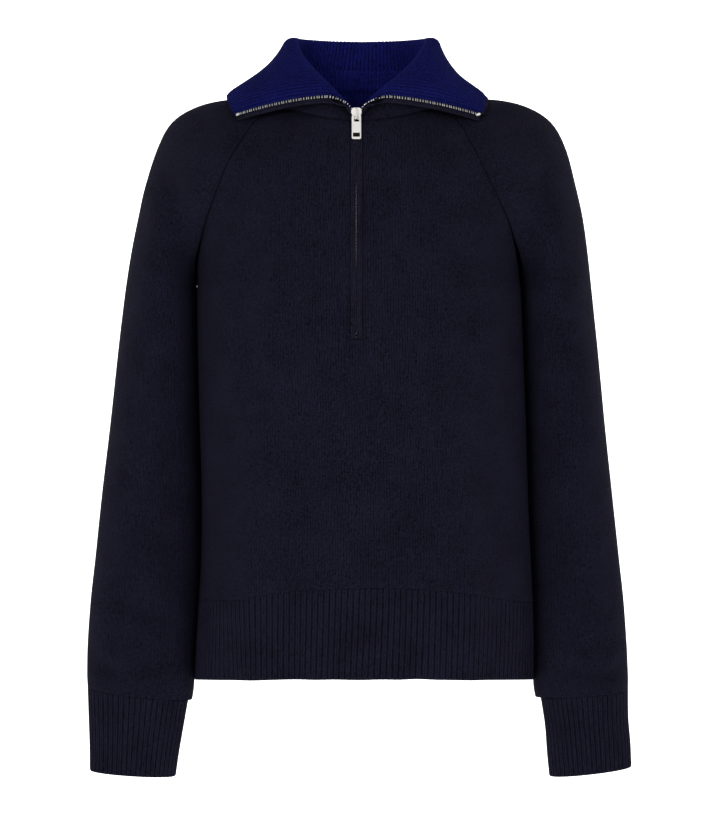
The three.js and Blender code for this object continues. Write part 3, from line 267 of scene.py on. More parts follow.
# %% [markdown]
# Knit drapes in long soft folds: troughs that fall from the shoulders into the armpits, bands of light
# and shade where the hem draws the body in, and slack rings above the cuffs. Each fold is one row: the
# line that it follows in the front view, how wide and how deep it is, and on which face it lies.

# %% The folds
FOLDS = table(
    "piece face x0 z0 x1 z1 bow width out",
    ("front", -1, -110, -330, -106, -600, 4, 15, 4.2), ("front", -1, -62, -380, -64, -600, -3, 18, -3.4),
    ("front", -1, 61, -330, 61, -600, 3, 13, -5.0), ("front", -1, 112, -400, 116, -600, -3, 18, 3.0),
    ("front", -1, -152, -150, -118, -235, -6, 13, -3.2), ("front", -1, 152, -150, 112, -250, 8, 14, -3.6),
    ("front", -1, -20, -300, -14, -560, 6, 30, 1.6), ("front", -1, 128, -180, 90, -330, 8, 22, 1.8),
    ("front", -1, -132, -190, -96, -340, -8, 22, 1.6), ("front", -1, 84, -60, 100, -170, -8, 16, -1.6),
    ("front", -1, -86, -60, -104, -170, 8, 16, -1.6), ("front", -1, 150, -300, 140, -470, 5, 16, -1.8),
    ("back", 1, -95, -360, -92, -600, 4, 15, -4.0), ("back", 1, -20, -390, -16, -600, 3, 20, 3.0),
    ("back", 1, 74, -320, 78, -600, -4, 14, -4.5), ("back", 1, 128, -400, 126, -600, 3, 15, 3.0),
    ("back", 1, -150, -150, -98, -260, -8, 16, -4.0), ("back", 1, 150, -150, 90, -290, 10, 17, -4.4),
    ("back", 1, -118, -60, -110, -190, 6, 18, -2.0), ("back", 1, 30, -120, 24, -330, -8, 26, -1.8),
    ("sleeve_left", -1, -204, -52, -178, -176, -7, 13, -5.0),
    ("sleeve_left", -1, -222, -70, -196, -206, -8, 14, 2.4),
    ("sleeve_left", -1, -176, -205, -226, -262, 6, 11, -3.2),
    ("sleeve_left", -1, -180, -262, -238, -330, 7, 12, -2.4),
    ("sleeve_left", -1, -178, -398, -250, -372, -8, 13, -2.6),
    ("sleeve_left", -1, -182, -430, -262, -462, 9, 13, -2.0),
    ("sleeve_left", -1, -268, -512, -196, -538, -7, 11, -2.6),
    ("sleeve_left", -1, -188, -566, -272, -578, -8, 10, -3.2),
    ("sleeve_left", -1, -278, -548, -210, -592, 5, 9, 2.2),
    ("sleeve_left", 1, -178, -150, -214, -290, 10, 15, -4.4),
    ("sleeve_left", 1, -240, -380, -186, -420, 8, 14, -3.8),
    ("sleeve_left", 1, -190, -440, -262, -480, -8, 13, -2.8),
    ("sleeve_left", 1, -262, -560, -196, -584, 7, 10, -3.2),
    ("sleeve_right", -1, 198, -58, 176, -182, 8, 13, -6.4),
    ("sleeve_right", -1, 222, -84, 194, -214, 8, 14, 3.0),
    ("sleeve_right", -1, 182, -214, 226, -286, -7, 12, -3.6),
    ("sleeve_right", -1, 190, -300, 240, -352, -7, 12, -2.2),
    ("sleeve_right", -1, 192, -420, 256, -384, 7, 14, -3.0),
    ("sleeve_right", -1, 198, -452, 268, -486, -8, 12, -2.0),
    ("sleeve_right", -1, 272, -526, 206, -548, 8, 11, -2.4),
    ("sleeve_right", -1, 204, -574, 276, -584, 8, 10, -3.4),
    ("sleeve_right", -1, 278, -556, 222, -600, -5, 9, 2.0),
    ("sleeve_right", 1, 184, -156, 220, -300, -9, 15, -4.6),
    ("sleeve_right", 1, 246, -372, 196, -424, -8, 14, -3.4),
    ("sleeve_right", 1, 206, -470, 268, -500, 7, 12, -2.8),
    ("sleeve_right", 1, 268, -566, 206, -588, -7, 10, -3.0),
)


def fold_out(piece, p, middle_y=0.0):
    """How far a piece's points move along their normals, in millimetres."""
    total = np.zeros(p.shape[:-1])
    for fold in FOLDS:
        if fold["piece"] != piece:
            continue
        run = np.array([fold["x1"] - fold["x0"], fold["z1"] - fold["z0"]], float)
        from_start = np.stack([p[..., 0] - fold["x0"], p[..., 2] - fold["z0"]], axis=-1)
        t = from_start @ run / (run @ run)
        away = (from_start[..., 0] * run[1] - from_start[..., 1] * run[0]) / np.linalg.norm(run)
        away = away - fold["bow"] * 4 * np.clip(t, 0, 1) * (1 - np.clip(t, 0, 1))
        ends = ease(t, -0.12, 0.3) * (1 - ease(t, 0.75, 1.12)) if piece.startswith("sleeve") else (
            ease(t, 0.0, 0.6))
        face = ease(fold["face"] * (p[..., 1] - middle_y), 0, 22)
        total += fold["out"] * np.exp(-(away / fold["width"]) ** 2) * ends * face
    return total


print("folds:", len(FOLDS))

# %% [markdown]
# A knitted panel is a wall about two millimetres thick. `wall_mesh` turns a grid of points into that
# wall: an outer face, an inner face, and flat rims. It also writes the knit's own coordinates, across and
# along the stitches in millimetres, because a stitch pattern has to follow the yarn and not the room.


# %% From a grid to a wall of cloth
def grid_normals(grid, closed=None):
    """Outward normals of a grid whose rows go down and whose points run so that cells face out."""
    across = np.gradient(grid, axis=1)
    fall = np.gradient(grid, axis=0)
    if closed is not None:
        wrapped = (grid[:, 1] - grid[:, -2]) / 2
        across[closed, 0] = wrapped[closed]
        across[closed, -1] = wrapped[closed]
    normals = unit(np.cross(fall, across))
    if closed is not None:
        both = unit(normals[:, 0] + normals[:, -1])
        normals[closed, 0] = both[closed]
        normals[closed, -1] = both[closed]
    return normals


def link(name, mesh):
    made = bpy.data.objects.new(name, mesh)
    scene.collection.objects.link(made)
    return made


def grid_faces(rows, columns, keep):
    ids = np.arange(rows * columns).reshape(rows, columns)
    cells = np.stack([ids[:-1, :-1], ids[1:, :-1], ids[1:, 1:], ids[:-1, 1:]], axis=-1)
    return cells[keep]


def wall_mesh(name, outer, inner, across, along, keep=None, extras=None):
    """A closed wall between two grids, merged where its edges meet, with its knit coordinates."""
    rows, columns = outer.shape[:2]
    keep = np.ones((rows - 1, columns - 1), bool) if keep is None else keep
    front = grid_faces(rows, columns, keep)
    count = rows * columns
    back = front[:, ::-1] + count
    edges = {}
    for face in front:
        for a, b in zip(face, np.roll(face, -1)):
            edges[(a, b)] = True
    rim = [(b, a, a + count, b + count) for a, b in edges if (b, a) not in edges]
    points = np.concatenate([outer.reshape(-1, 3), inner.reshape(-1, 3)]) * MM
    mesh = bpy.data.meshes.new(name)
    mesh.from_pydata(points.tolist(), [], [*front.tolist(), *back.tolist(), *rim])
    soft_faces = np.arange(len(mesh.polygons)) < 2 * len(front)
    mesh.polygons.foreach_set("use_smooth", soft_faces)
    uv = mesh.uv_layers.new(name="knit")
    corner = np.empty(len(mesh.loops), np.int32)
    mesh.loops.foreach_get("vertex_index", corner)
    both = np.stack([np.tile(across.ravel(), 2), np.tile(along.ravel(), 2)], axis=-1)
    uv.data.foreach_set("uv", both[corner].astype(np.float32).ravel())
    for key, values in (extras or {}).items():
        layer = mesh.attributes.new(key, "FLOAT", "POINT")
        layer.data.foreach_set("value", np.tile(values.ravel(), 2).astype(np.float32))
    made = link(name, mesh)
    soft = bmesh.new()
    soft.from_mesh(mesh)
    bmesh.ops.remove_doubles(soft, verts=soft.verts, dist=2e-5)
    loose = [v for v in soft.verts if not v.link_faces]
    bmesh.ops.delete(soft, geom=loose, context="VERTS")
    soft.to_mesh(mesh)
    soft.free()
    mesh.update()
    print(name, "faces:", len(mesh.polygons))
    return made


def tube(name, path, radius, sides=8, closed=False, squash=1.0, normals=None):
    """A round or flattened cord along a path of points, in millimetres."""
    along = unit(np.gradient(path, axis=0))
    up = np.tile((0.0, 0.0, 1.0), (len(path), 1)) if normals is None else normals
    side = unit(np.cross(along, up))
    out = unit(np.cross(side, along))
    radius = np.broadcast_to(radius, (len(path),))[:, None]
    rings = []
    for k in range(sides):
        angle = 2 * np.pi * k / sides
        rings.append(path + radius * (np.cos(angle) * side + squash * np.sin(angle) * out))
    rings = np.stack(rings, axis=1)
    count = len(path)
    faces = []
    for i in range(count - (0 if closed else 1)):
        after = (i + 1) % count
        for k in range(sides):
            turn = (k + 1) % sides
            faces.append((i * sides + k, i * sides + turn, after * sides + turn, after * sides + k))
    if not closed:
        faces.append(tuple(reversed(range(sides))))
        faces.append(tuple((count - 1) * sides + k for k in range(sides)))
    mesh = bpy.data.meshes.new(name)
    mesh.from_pydata((rings.reshape(-1, 3) * MM).tolist(), [], faces)
    uv = mesh.uv_layers.new(name="knit")
    length = travel(path)
    corner = np.empty(len(mesh.loops), np.int32)
    mesh.loops.foreach_get("vertex_index", corner)
    around = np.tile(np.arange(sides) / sides * 5.4, count)
    uv.data.foreach_set("uv", np.stack([around, np.repeat(length, sides)], -1)[corner].ravel())
    mesh.polygons.foreach_set("use_smooth", np.ones(len(mesh.polygons), bool))
    solid = bmesh.new()
    solid.from_mesh(mesh)
    bmesh.ops.recalc_face_normals(solid, faces=solid.faces)
    solid.to_mesh(mesh)
    solid.free()
    return link(name, mesh)


def join(name, pieces):
    """Several meshes as one object."""
    whole = bmesh.new()
    for piece in pieces:
        whole.from_mesh(piece.data)
        bpy.data.objects.remove(piece)
    mesh = bpy.data.meshes.new(name)
    whole.to_mesh(mesh)
    whole.free()
    return link(name, mesh)


print("cloth helpers ready")

# %% [markdown]
# The body's rings run from the left seam over the middle to the right seam. Above the underarm they
# end on the raglan seams, and below it on the side seams. One formula gives the front and the back.


# %% Body rings
def half_rings(left, right, middle, turn, reach, mid_reach, forward):
    angle = np.radians(turn)

    def leave(seam, inward):
        return xyz(seam[:, 0] + inward * reach * np.cos(angle),
                   seam[:, 1] + forward * reach * np.sin(angle),
                   mix(seam[:, 2], middle[:, 2], RING_SAG))

    def arrive(inward):
        return xyz(middle[:, 0] - inward * mid_reach, middle[:, 1], middle[:, 2])

    first = bezier(left, leave(left, 1), arrive(1), middle)
    second = bezier(middle, arrive(-1), leave(right, -1), right)
    return np.concatenate([first, second[:, 1:]], axis=1)


def yoke_lines(steps, face):
    row = smooth(YOKE, "step", steps)
    forward = -1 if face == "front" else 1
    middle_name = "chest" if face == "front" else "nape"
    into = SEAM * 0.7
    y = row[face + "Y"] + forward * into * np.maximum(0, row["step"] - 7)
    z = row[face + "Z"]
    middle = xyz(MID_X, row[middle_name + "Y"], row[middle_name + "Z"])
    return half_rings(xyz(row["seamLeft"] + into, y, z), xyz(row["seamRight"] - into, y, z), middle,
                      row["bodyTurn"], row["bodyReach"], row["midReach"], forward)


def torso_lines(z, face):
    row = smooth(TORSO, "z", z)
    forward = -1 if face == "front" else 1
    into = SEAM * 0.7
    y = np.full(len(row["z"]), SIDE_Y + forward * into)
    down = (UNDERARM_Z - row["z"]) / (UNDERARM_Z - TORSO[-1]["z"])
    middle = xyz(mix(MID_X, (row["left"] + row["right"]) / 2, down), row[face], row["z"])
    reach = row["square"] * np.abs(middle[:, 1] - y)
    mid_reach = row["square"] * (row["right"] - row["left"]) / 2
    turn = np.full(len(y), 90.0)
    return half_rings(xyz(row["left"] + into, y, row["z"]), xyz(row["right"] - into, y, row["z"]),
                      middle, turn, reach, mid_reach, forward)


def dip(shares, edge, middle):
    return mix(middle, edge, np.abs(2 * shares - 1) ** 2.2)


def torso_points(shares, z, face):
    lines = torso_lines(z.ravel(), face)
    return pick(lines, shares.ravel()).reshape(z.shape + (3,)), travel(lines)[:, -1].reshape(z.shape)


# The front's ribs begin on a line with a small step, as linked by hand, given as x and height.
RIB_START = table("x z", (-170, -513), (-150, -508), (-112, -506.5), (-105, -502), (-65, -495.6),
                  (-20, -493.4), (30, -492.2), (57, -493.5), (94, -496.6), (119, -500), (148, -506),
                  (184, -513))


def rib_top(shares, face):
    z = dip(shares, RIB_TOP["sides"], RIB_TOP[face])
    if face == "front":
        x = torso_points(shares, z, face)[0][..., 0]
        z = np.interp(x, column(RIB_START, "x"), column(RIB_START, "z"))
    return z


print("a ring round the chest is", round(float(travel(yoke_lines([5], "front"))[0, -1])), "mm in front")

# %% [markdown]
# The front and the back are single knitted panels. The front is slit down its middle for the zip, so
# its columns stop on both sides of the slit until they pass the zip's foot. The panel's rows become
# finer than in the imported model, and the folds are pressed in along the normals.

# %% The front and back panels
YOKE_ROWS, SLIT_ROWS, LOWER_ROWS = 46, 14, 60
HALF_COLUMNS = 46


def body_panel(face):
    columns = np.linspace(0, 1, 2 * HALF_COLUMNS + 2)
    yoke = yoke_lines(np.linspace(0, 8, YOKE_ROWS), face)
    to_foot = torso_lines(np.linspace(UNDERARM_Z, ZIP_FOOT_Z, SLIT_ROWS + 1)[1:], face)
    upper = np.concatenate([yoke, to_foot])

    def row_shares(line):
        if face == "back":
            return columns
        left, right = share_at_x(line, ZIP_X - SLIT_HALF), share_at_x(line, ZIP_X + SLIT_HALF)
        half = np.linspace(0, 1, HALF_COLUMNS + 1)
        return np.concatenate([left * half, mix(right, 1, half)])

    shares = np.stack([row_shares(line) for line in upper])
    grid = spread(upper, shares)
    total = travel(upper)[:, -1][:, None]
    low_shares = np.tile(shares[-1], (LOWER_ROWS, 1))
    down = np.linspace(0, 1, LOWER_ROWS + 1)[1:, None]
    low_z = mix(ZIP_FOOT_Z, rib_top(low_shares[:1], face) + SEAM / 2, down)
    lower, lower_total = torso_points(low_shares, low_z, face)
    grid = np.concatenate([grid, lower])
    shares = np.concatenate([shares, low_shares])
    total = np.concatenate([np.tile(total, (1, shares.shape[1])), lower_total])
    middle = share_at_x(upper[0], ZIP_X) if face == "front" else 0.5
    across = (shares - middle) * total
    along = np.tile(travel(grid[:, HALF_COLUMNS]), (grid.shape[1], 1)).T
    in_yoke = (np.arange(len(grid)) < YOKE_ROWS)[:, None]
    edge = np.where(in_yoke, np.minimum(shares, 1 - shares) * total, 99.0)
    if face == "back":
        grid, across, along, edge = (v[:, ::-1] for v in (grid, across, along, edge))
    normals = grid_normals(grid)
    grid = grid + normals * fold_out(face, grid)[..., None]
    normals = grid_normals(grid)
    keep = np.ones((len(grid) - 1, grid.shape[1] - 1), bool)
    if face == "front":
        keep[:YOKE_ROWS + SLIT_ROWS - 1, HALF_COLUMNS] = False
    made = wall_mesh("knit_" + face, grid, grid - KNIT * normals, across, along, keep,
                     {"edge": edge})
    return made, grid, normals


knit_front, front_grid, front_normals = body_panel("front")
knit_back, back_grid, back_normals = body_panel("back")

# %% [markdown]
# A raglan sleeve starts as a cap that is open between the front and back seams and becomes a tube below
# the underarm. Its rings run from the front seam over the ridge of the arm to the back seam.

# %% The sleeves
CAP_ROWS, TUBE_ROWS, SLEEVE_COLUMNS_COUNT = 44, 104, 84
CAP_END = 7.9


def cap_lines(steps, side):
    row = smooth(YOKE, "step", steps)
    outward = -1 if side == "left" else 1
    seam_x = row["seam" + side.title()] + outward * SEAM * (1 + row["step"] * SEAM_SPREAD)
    ridge_x = row["ridge" + side.title()]
    angle = np.radians(row["sleeveTurn"])
    ridge = xyz(ridge_x, row["ridgeY"], row["ridgeZ"])

    def half(y, z, back):
        reach = row["sleeveReach"] * CAP_FULLNESS[back]
        leave = xyz(seam_x + outward * reach * np.cos(angle), y - back * reach * np.sin(angle),
                    mix(z, row["ridgeZ"], CAP_RISE))
        arrive = xyz(ridge_x, row["ridgeY"] + back * row["ridgeReach"], row["ridgeZ"])
        return bezier(xyz(seam_x, y, z), leave, arrive, ridge)

    front = half(row["frontY"], row["frontZ"], -1)
    back = half(row["backY"], row["backZ"], 1)
    return np.concatenate([front, back[:, ::-1][:, 1:]], axis=1)


def tube_lines(at, side):
    row = smooth(SLEEVE[side], "row", at)
    inner = xyz(row["inX"], row["inY"], row["inZ"])
    outer = xyz(row["outX"], row["y"], row["outZ"])
    forward = xyz(0, -row["front"] / OVAL_PEAK, 0)
    backward = xyz(0, row["back"] / OVAL_PEAK, 0)
    return np.concatenate([bezier(inner, inner + forward, outer + forward, outer),
                           bezier(outer, outer + backward, inner + backward, inner)[:, 1:]], axis=1)


# Below zero, the clearance closes the line of light beside the body, but the walls then cross near the
# underarm. At 0.8 nothing crosses, but the line of light is back.
BODY_CLEARANCE, BESIDE_WIDTH = -0.4, 26
LEAN_FROM, LEAN_UNTIL = (178, 194), (592, 650)


def lean_on_body(grid, closed, side):
    """Brings the inner side of a hanging sleeve up to the body's side, down to the hem."""
    inward = 1 if side == "left" else -1
    for i in np.flatnonzero(closed):
        reach = inward * grid[i, :, 0]
        nearest = int(reach.argmax())
        z = grid[i, nearest, 2]
        beside = float(smooth(TORSO, "z", [z])[side][0])
        push = max(0.0, inward * (beside - grid[i, nearest, 0]) - BODY_CLEARANCE)
        push *= ease(-z, *LEAN_FROM) * (1 - ease(-z, *LEAN_UNTIL))
        grid[i, :, 0] += inward * push * ease(reach, reach[nearest] - BESIDE_WIDTH, reach[nearest])
    return grid


def sleeve(side):
    end = CUFF_ROW - 0.013
    lines = np.concatenate([cap_lines(np.linspace(0, CAP_END, CAP_ROWS), side),
                            tube_lines(np.linspace(0, end, TUBE_ROWS), side)])
    shares = np.tile(np.linspace(0, 1, SLEEVE_COLUMNS_COUNT + 1), (len(lines), 1))
    grid = spread(lines, shares)
    closed = np.arange(len(lines)) >= CAP_ROWS
    near = np.exp(-((np.arange(len(lines)) - CAP_ROWS) / 6.0) ** 2)[:, None, None]
    for _ in range(12):
        calm = grid.copy()
        calm[1:-1] = (grid[:-2] + 2 * grid[1:-1] + grid[2:]) / 4
        calm[:, 0], calm[:, -1] = grid[:, 0], grid[:, -1]
        grid = mix(grid, calm, near)
    grid = lean_on_body(grid, closed, side)
    sums = travel(lines)
    across = shares * sums[:, -1:] - sums[:, 24:25]
    along = np.tile(travel(grid[:, SLEEVE_COLUMNS_COUNT // 2]), (grid.shape[1], 1)).T
    edge = np.where(closed[:, None], 99.0, np.minimum(shares, 1 - shares) * sums[:, -1:])
    if side == "left":
        grid, across, along, edge = (v[:, ::-1] for v in (grid, across, along, edge))
    normals = grid_normals(grid, closed)
    grid = grid + normals * fold_out("sleeve_" + side, grid, 2.0)[..., None]
    grid[closed, -1] = grid[closed, 0]
    normals = grid_normals(grid, closed)
    made = wall_mesh("knit_sleeve_" + side, grid, grid - KNIT * normals, across, along, None,
                     {"edge": edge})
    return made, grid, normals


knit_sleeves, sleeve_grids = {}, {}
for side in ("left", "right"):
    knit_sleeves[side], grid, normals = sleeve(side)
    sleeve_grids[side] = (grid, normals)

# %% [markdown]
# Ribs are real form, not a pattern: the hem and the cuffs pull in because their stitches alternate
# between the face and the back of the cloth. Each rib gets eight points across, rounded on top with
# a groove beside it, and the inner face stays plain.

# %% Ribbed bands
RIB_POINTS = 8
GROOVE_SHARPNESS = 2.4
RIM = 0.8


def rib_profile(columns):
    phase = (np.arange(columns) % RIB_POINTS) / RIB_POINTS
    return 1 - np.abs(2 * phase - 1) ** GROOVE_SHARPNESS


def rib_wall(name, grid, normals, height, thickness, down, across, closed=False):
    """A ribbed wall whose ribs swell out over the first rows and round over at the lower edge."""
    rib = np.tile(rib_profile(grid.shape[1]), (len(grid), 1))
    rise = ease(down, 0, 0.03)[:, None]
    curl = RIM * np.maximum(0, 1 - (1 - down) / 0.02)[:, None] ** 2
    depth = height * (1 - rib) * mix(0.25, 1, rise) + curl
    outer = grid - normals * depth[..., None]
    inner = grid - normals * (thickness - 0.4 * curl)[..., None]
    if closed:
        outer[:, -1], inner[:, -1] = outer[:, 0], inner[:, 0]
    along = np.tile(travel(grid[:, 0]), (grid.shape[1], 1)).T
    return wall_mesh(name, outer, inner, across, along, None, {"rib": rib})


# Where the ribs lean sideways on their way down: the place, the width and how far, in shares of the hem.
LEANS = table("at width by", (0.2, 0.07, 0.017), (0.5, 0.12, -0.005), (0.83, 0.08, -0.011))


def hem_band(face):
    columns = HEM_RIBS * RIB_POINTS + 1
    down = np.concatenate([np.linspace(0, 0.06, 5), np.linspace(0.1, 0.96, 9), np.linspace(0.98, 1, 4)])
    shares = np.tile(np.linspace(0, 1, columns), (len(down), 1))
    top = rib_top(shares[:1], face) - SEAM / 2
    for lean in LEANS:
        slant = lean["by"] * np.exp(-((shares - lean["at"]) / lean["width"]) ** 2)
        shares = shares + slant * down[:, None] * 4 * shares * (1 - shares)
    low = dip(shares, HEM_EDGE["sides"], HEM_EDGE[face])
    grid, _ = torso_points(shares, mix(top, low, down[:, None]), face)
    if face == "back":
        grid = grid[:, ::-1]
    grid = grid + grid_normals(grid) * fold_out(face, grid)[..., None]
    across = np.tile(np.arange(columns) / RIB_POINTS * 3, (len(grid), 1))
    return rib_wall("rib_hem_" + face, grid, grid_normals(grid), RIB_HEIGHT, KNIT, down, across), grid


def cuff_band(side):
    columns = CUFF_RIBS * RIB_POINTS + 1
    down = np.concatenate([np.linspace(0, 0.06, 5), np.linspace(0.1, 0.96, 11),
                           np.linspace(0.98, 1, 4)])
    lines = tube_lines(mix(CUFF_ROW + 0.013, LAST_ROW, down), side)
    grid = spread(lines, np.tile(np.linspace(0, 1, columns), (len(lines), 1)))
    if side == "left":
        grid = grid[:, ::-1].copy()
    closed = np.ones(len(grid), bool)
    across = np.tile(np.arange(columns) / RIB_POINTS * 3, (len(grid), 1))
    made = rib_wall("rib_cuff_" + side, grid, grid_normals(grid, closed), RIB_HEIGHT, KNIT, down,
                    across, True)
    return made, grid


rib_hems, hem_grids, rib_cuffs, cuff_grids = {}, {}, {}, {}
for face in ("front", "back"):
    rib_hems[face], hem_grids[face] = hem_band(face)
for side in ("left", "right"):
    rib_cuffs[side], cuff_grids[side] = cuff_band(side)

# %% [markdown]
# The collar is a straight ribbed band of two plies, navy outside and cobalt inside. It stands up from
# the neck seam, turns over, and falls outside with the cobalt ply on top. Each station round the neck
# gives one section of that path, and the sections are joined from the right zip edge to the left one.

# %% The collar's middle surface
COLLAR_INSET, NECK_MIDDLE_Y, TURN_FULLNESS = 1.2, -15, 1.33
COLLAR_LIFT = (0.8, 1.9)
STAND_CELLS, TURN_CELLS, FALL_CELLS = 8, 7, 24
ZIP_TRIM = 3.5


def neck_half(side):
    front, back, cap = yoke_lines([0], "front"), yoke_lines([0], "back"), cap_lines([0], side)[0]
    start = share_at_x(front[0], ZIP_X)
    steps = np.linspace(0, 1, 41)[None]
    end = 0 if side == "left" else 1
    return np.concatenate([spread(front, mix(start, end, steps))[0], cap[1:],
                           spread(back, mix(end, 0.5, steps))[0][1:]])


NECK = {side: neck_half(side) for side in ("left", "right")}
NECK_LENGTH = sum(travel(line)[-1] for line in NECK.values())


def collar_sections(at, side):
    """Foot, top, turn and fall of the collar's wall at places along half the neck."""
    at = np.atleast_1d(np.asarray(at, float))
    row = smooth(COLLAR, "at", at)

    def x(left, mid):
        return row[left] if side == "left" else 2 * row[mid] - row[left]

    seam = spread(NECK[side][None], at[None])[0]
    inward = unit(xyz(row["mid"] - seam[:, 0], NECK_MIDDLE_Y - seam[:, 1], 0))
    top = xyz(x("topX", "mid"), row["topY"], row["topZ"])
    over = xyz(x("overX", "mid"), row["overY"], row["overZ"])
    edge = xyz(x("edgeX", "edgeMid"), row["edgeY"], row["edgeZ"])
    base = seam + COLLAR_INSET * inward
    rise = unit(top - base)
    foot = base + rise * mix(*COLLAR_LIFT, ease(at, 0, 0.5))[:, None]
    fall = edge - over
    swell = over - top
    swell = unit(swell - fall * ((swell * fall).sum(-1) / (fall * fall).sum(-1))[:, None])
    lapel = np.clip(1 - at / 0.3, 0, 1)[:, None]
    swell = unit(swell * (1 - lapel) + np.array((0, -1, 0.35)) * lapel)
    near = over + 0.33 * fall + swell * row["near"][:, None]
    far = over + 0.7 * fall + swell * row["far"][:, None]
    handle = (row["bend"] * TURN_FULLNESS)[:, None]
    turn = bezier(top, top + rise * handle, over + unit(over - near) * handle, over, TURN_CELLS)
    stand = bezier(foot, mix(foot, top, 1 / 3), mix(foot, top, 2 / 3), top, STAND_CELLS)
    drop = bezier(over, near, far, edge, 40)
    drop = spread(drop, np.tile(np.linspace(0, 1, FALL_CELLS + 1), (len(at), 1)))
    return np.concatenate([stand, turn[:, 1:], drop[:, 1:]], axis=1)


def zip_edge(side):
    """The collar's edge on the zip's middle, with the direction across towards the other half."""
    path, beside = collar_sections([0, 0.012], side)
    outward = unit(path - beside)
    straight = np.array((1.0 if side == "left" else -1.0, 0, 0))
    weight = ease(np.arange(len(path)), STAND_CELLS * 0.4, STAND_CELLS + TURN_CELLS * 0.8)[:, None]
    return path, unit(mix(straight, outward, weight))


def collar_grid(columns, trim):
    """Rows from the neck seam to the free edge, points from the right zip edge to the left one."""
    share = trim / NECK_LENGTH
    around = mix(share, 1 - share, np.linspace(0, 1, columns))
    right = around <= 0.5
    lines = np.concatenate([collar_sections(2 * around[right], "right"),
                            collar_sections(2 * (1 - around[~right]), "left")])
    for index, side in ((0, "right"), (-1, "left")):
        path, across = zip_edge(side)
        lines[index] = path - across * trim
    return lines.transpose(1, 0, 2)


fine = collar_grid(COLLAR_RIBS * RIB_POINTS + 1, ZIP_TRIM)
print("neck seam:", round(float(NECK_LENGTH)), "mm, collar grid:", fine.shape)

# %% [markdown]
# The first columns beside the zip have to leave its edge smoothly, because the ribs there run along
# the teeth. The plies are then offset from the middle surface to either side, and the cobalt ply gets
# its ribs, with a sewn channel just above the teeth. Light and shadow are partly painted here: the
# `lit` value makes the facing lighter inside the neck, and the navy ply darker inside the fold.


# %% The collar's plies
def ease_to_zip(grid, reach):
    """Bends the columns next to each zip edge so that they fan out evenly from it."""
    grid = grid.copy()
    for edge, inner, order in ((0, reach, 1), (-1, -1 - reach, -1)):
        start, end = grid[:, edge], grid[:, inner]
        lead = (grid[:, inner + order] - grid[:, inner]) * reach
        for k in range(1, reach):
            t = k / reach
            bent = (start * (2 * t**3 - 3 * t**2 + 1) + (end - start) * (t**3 - 2 * t**2 + t)
                    + end * (3 * t**2 - 2 * t**3) + lead * (t**3 - t**2))
            grid[:, edge + order * k] = mix(bent, grid[:, edge + order * k], t * t)
    return grid


CHANNEL_FROM_ZIP = 3.2
INSIDE_LIGHT, FOOT_LIGHT, FOLD_SHADE = 0.7, 1.9, -0.85
columns = fine.shape[1]
middle = ease_to_zip(fine, 24)
collar_normals = grid_normals(middle)
for _ in range(3):
    padded = np.concatenate([collar_normals[:, :1], collar_normals, collar_normals[:, -1:]], axis=1)
    collar_normals = unit(padded[:, :-2] + 2 * padded[:, 1:-1] + padded[:, 2:])
rib = np.tile(rib_profile(columns), (len(middle), 1))
from_zip = np.minimum(travel(middle), travel(middle[:, ::-1])[:, ::-1])
channel = np.exp(-((from_zip - CHANNEL_FROM_ZIP) / 1.1) ** 2)
near_edge = 1 - ease(from_zip, 1.0, 6.0)
down = np.linspace(0, 1, len(middle))[:, None]
rounding = 1.0 * np.maximum(0, 1 - (1 - down) / 0.05) ** 2
face_height = (SEAM / 2 + PLY - COLLAR_RIB_HEIGHT * (1 - rib) * (1 - near_edge) - 0.7 * channel
               - 0.9 * near_edge - rounding)
across = np.tile(np.arange(columns) / RIB_POINTS * 3, (len(middle), 1))
along = np.tile(travel(middle[:, columns // 2]), (columns, 1)).T
row_number = np.arange(len(middle))[:, None] + 0 * rib
standing = 1 - ease(row_number, STAND_CELLS - 1, STAND_CELLS + TURN_CELLS - 2)
facing = wall_mesh("rib_collar_facing", middle + collar_normals * face_height[..., None],
                   middle + collar_normals * (SEAM / 2), across, along, None,
                   {"rib": mix(rib, 1, near_edge), "lit": INSIDE_LIGHT * standing})

outer_middle = middle[:, ::-1]
outer_normals = collar_normals[:, ::-1]
# The swell brings the standing part out under the lapels. It also causes most of the places in the
# fold where the ply crosses itself and the facing.
STAND_SWELL, SWELL_FROM_ZIP, SWELL_ENDS = 5.0, (2, 22), (70, 115)
FOLD_ROW, FOLD_SPREAD, FOLD_ENDS = STAND_CELLS - 2.5, 7.0, (60, 95)
in_stand = 1 - ease(np.arange(len(middle))[:, None], STAND_CELLS, STAND_CELLS + TURN_CELLS)
beside_zip = 1 - ease(from_zip[:, ::-1], 90, 130)
outer_rib = mix(rib[:, ::-1], 1, in_stand * beside_zip)
right_lapel = 1 - ease(np.linspace(1, 0, columns), 0.08, 0.2)
stand_at = np.arange(len(middle))[:, None] / (STAND_CELLS + TURN_CELLS)
swell = np.sin(np.pi * np.clip(stand_at, 0, 1)) ** 1.5
swell = STAND_SWELL * swell * ease(from_zip[:, ::-1], *SWELL_FROM_ZIP)
swell = swell * (1 - ease(from_zip[:, ::-1], *SWELL_ENDS))
peek = mix(0.5, 3.4, right_lapel)[None, :, None] * np.maximum(0, 1 - (1 - down) / 0.05)[..., None]
fall_way = unit(np.gradient(outer_middle, axis=0))
outer_shift = fall_way * peek + outer_normals * 0.25 * peek - outer_normals * swell[..., None]
back_height = SEAM / 2 + PLY - 0.6 * COLLAR_RIB_HEIGHT * (1 - outer_rib) - rounding
under_fold = np.exp(-(np.arange(len(middle))[:, None] - FOLD_ROW) ** 2 / FOLD_SPREAD)
under_fold = FOLD_SHADE * under_fold * (1 - ease(from_zip[:, ::-1], *FOLD_ENDS))
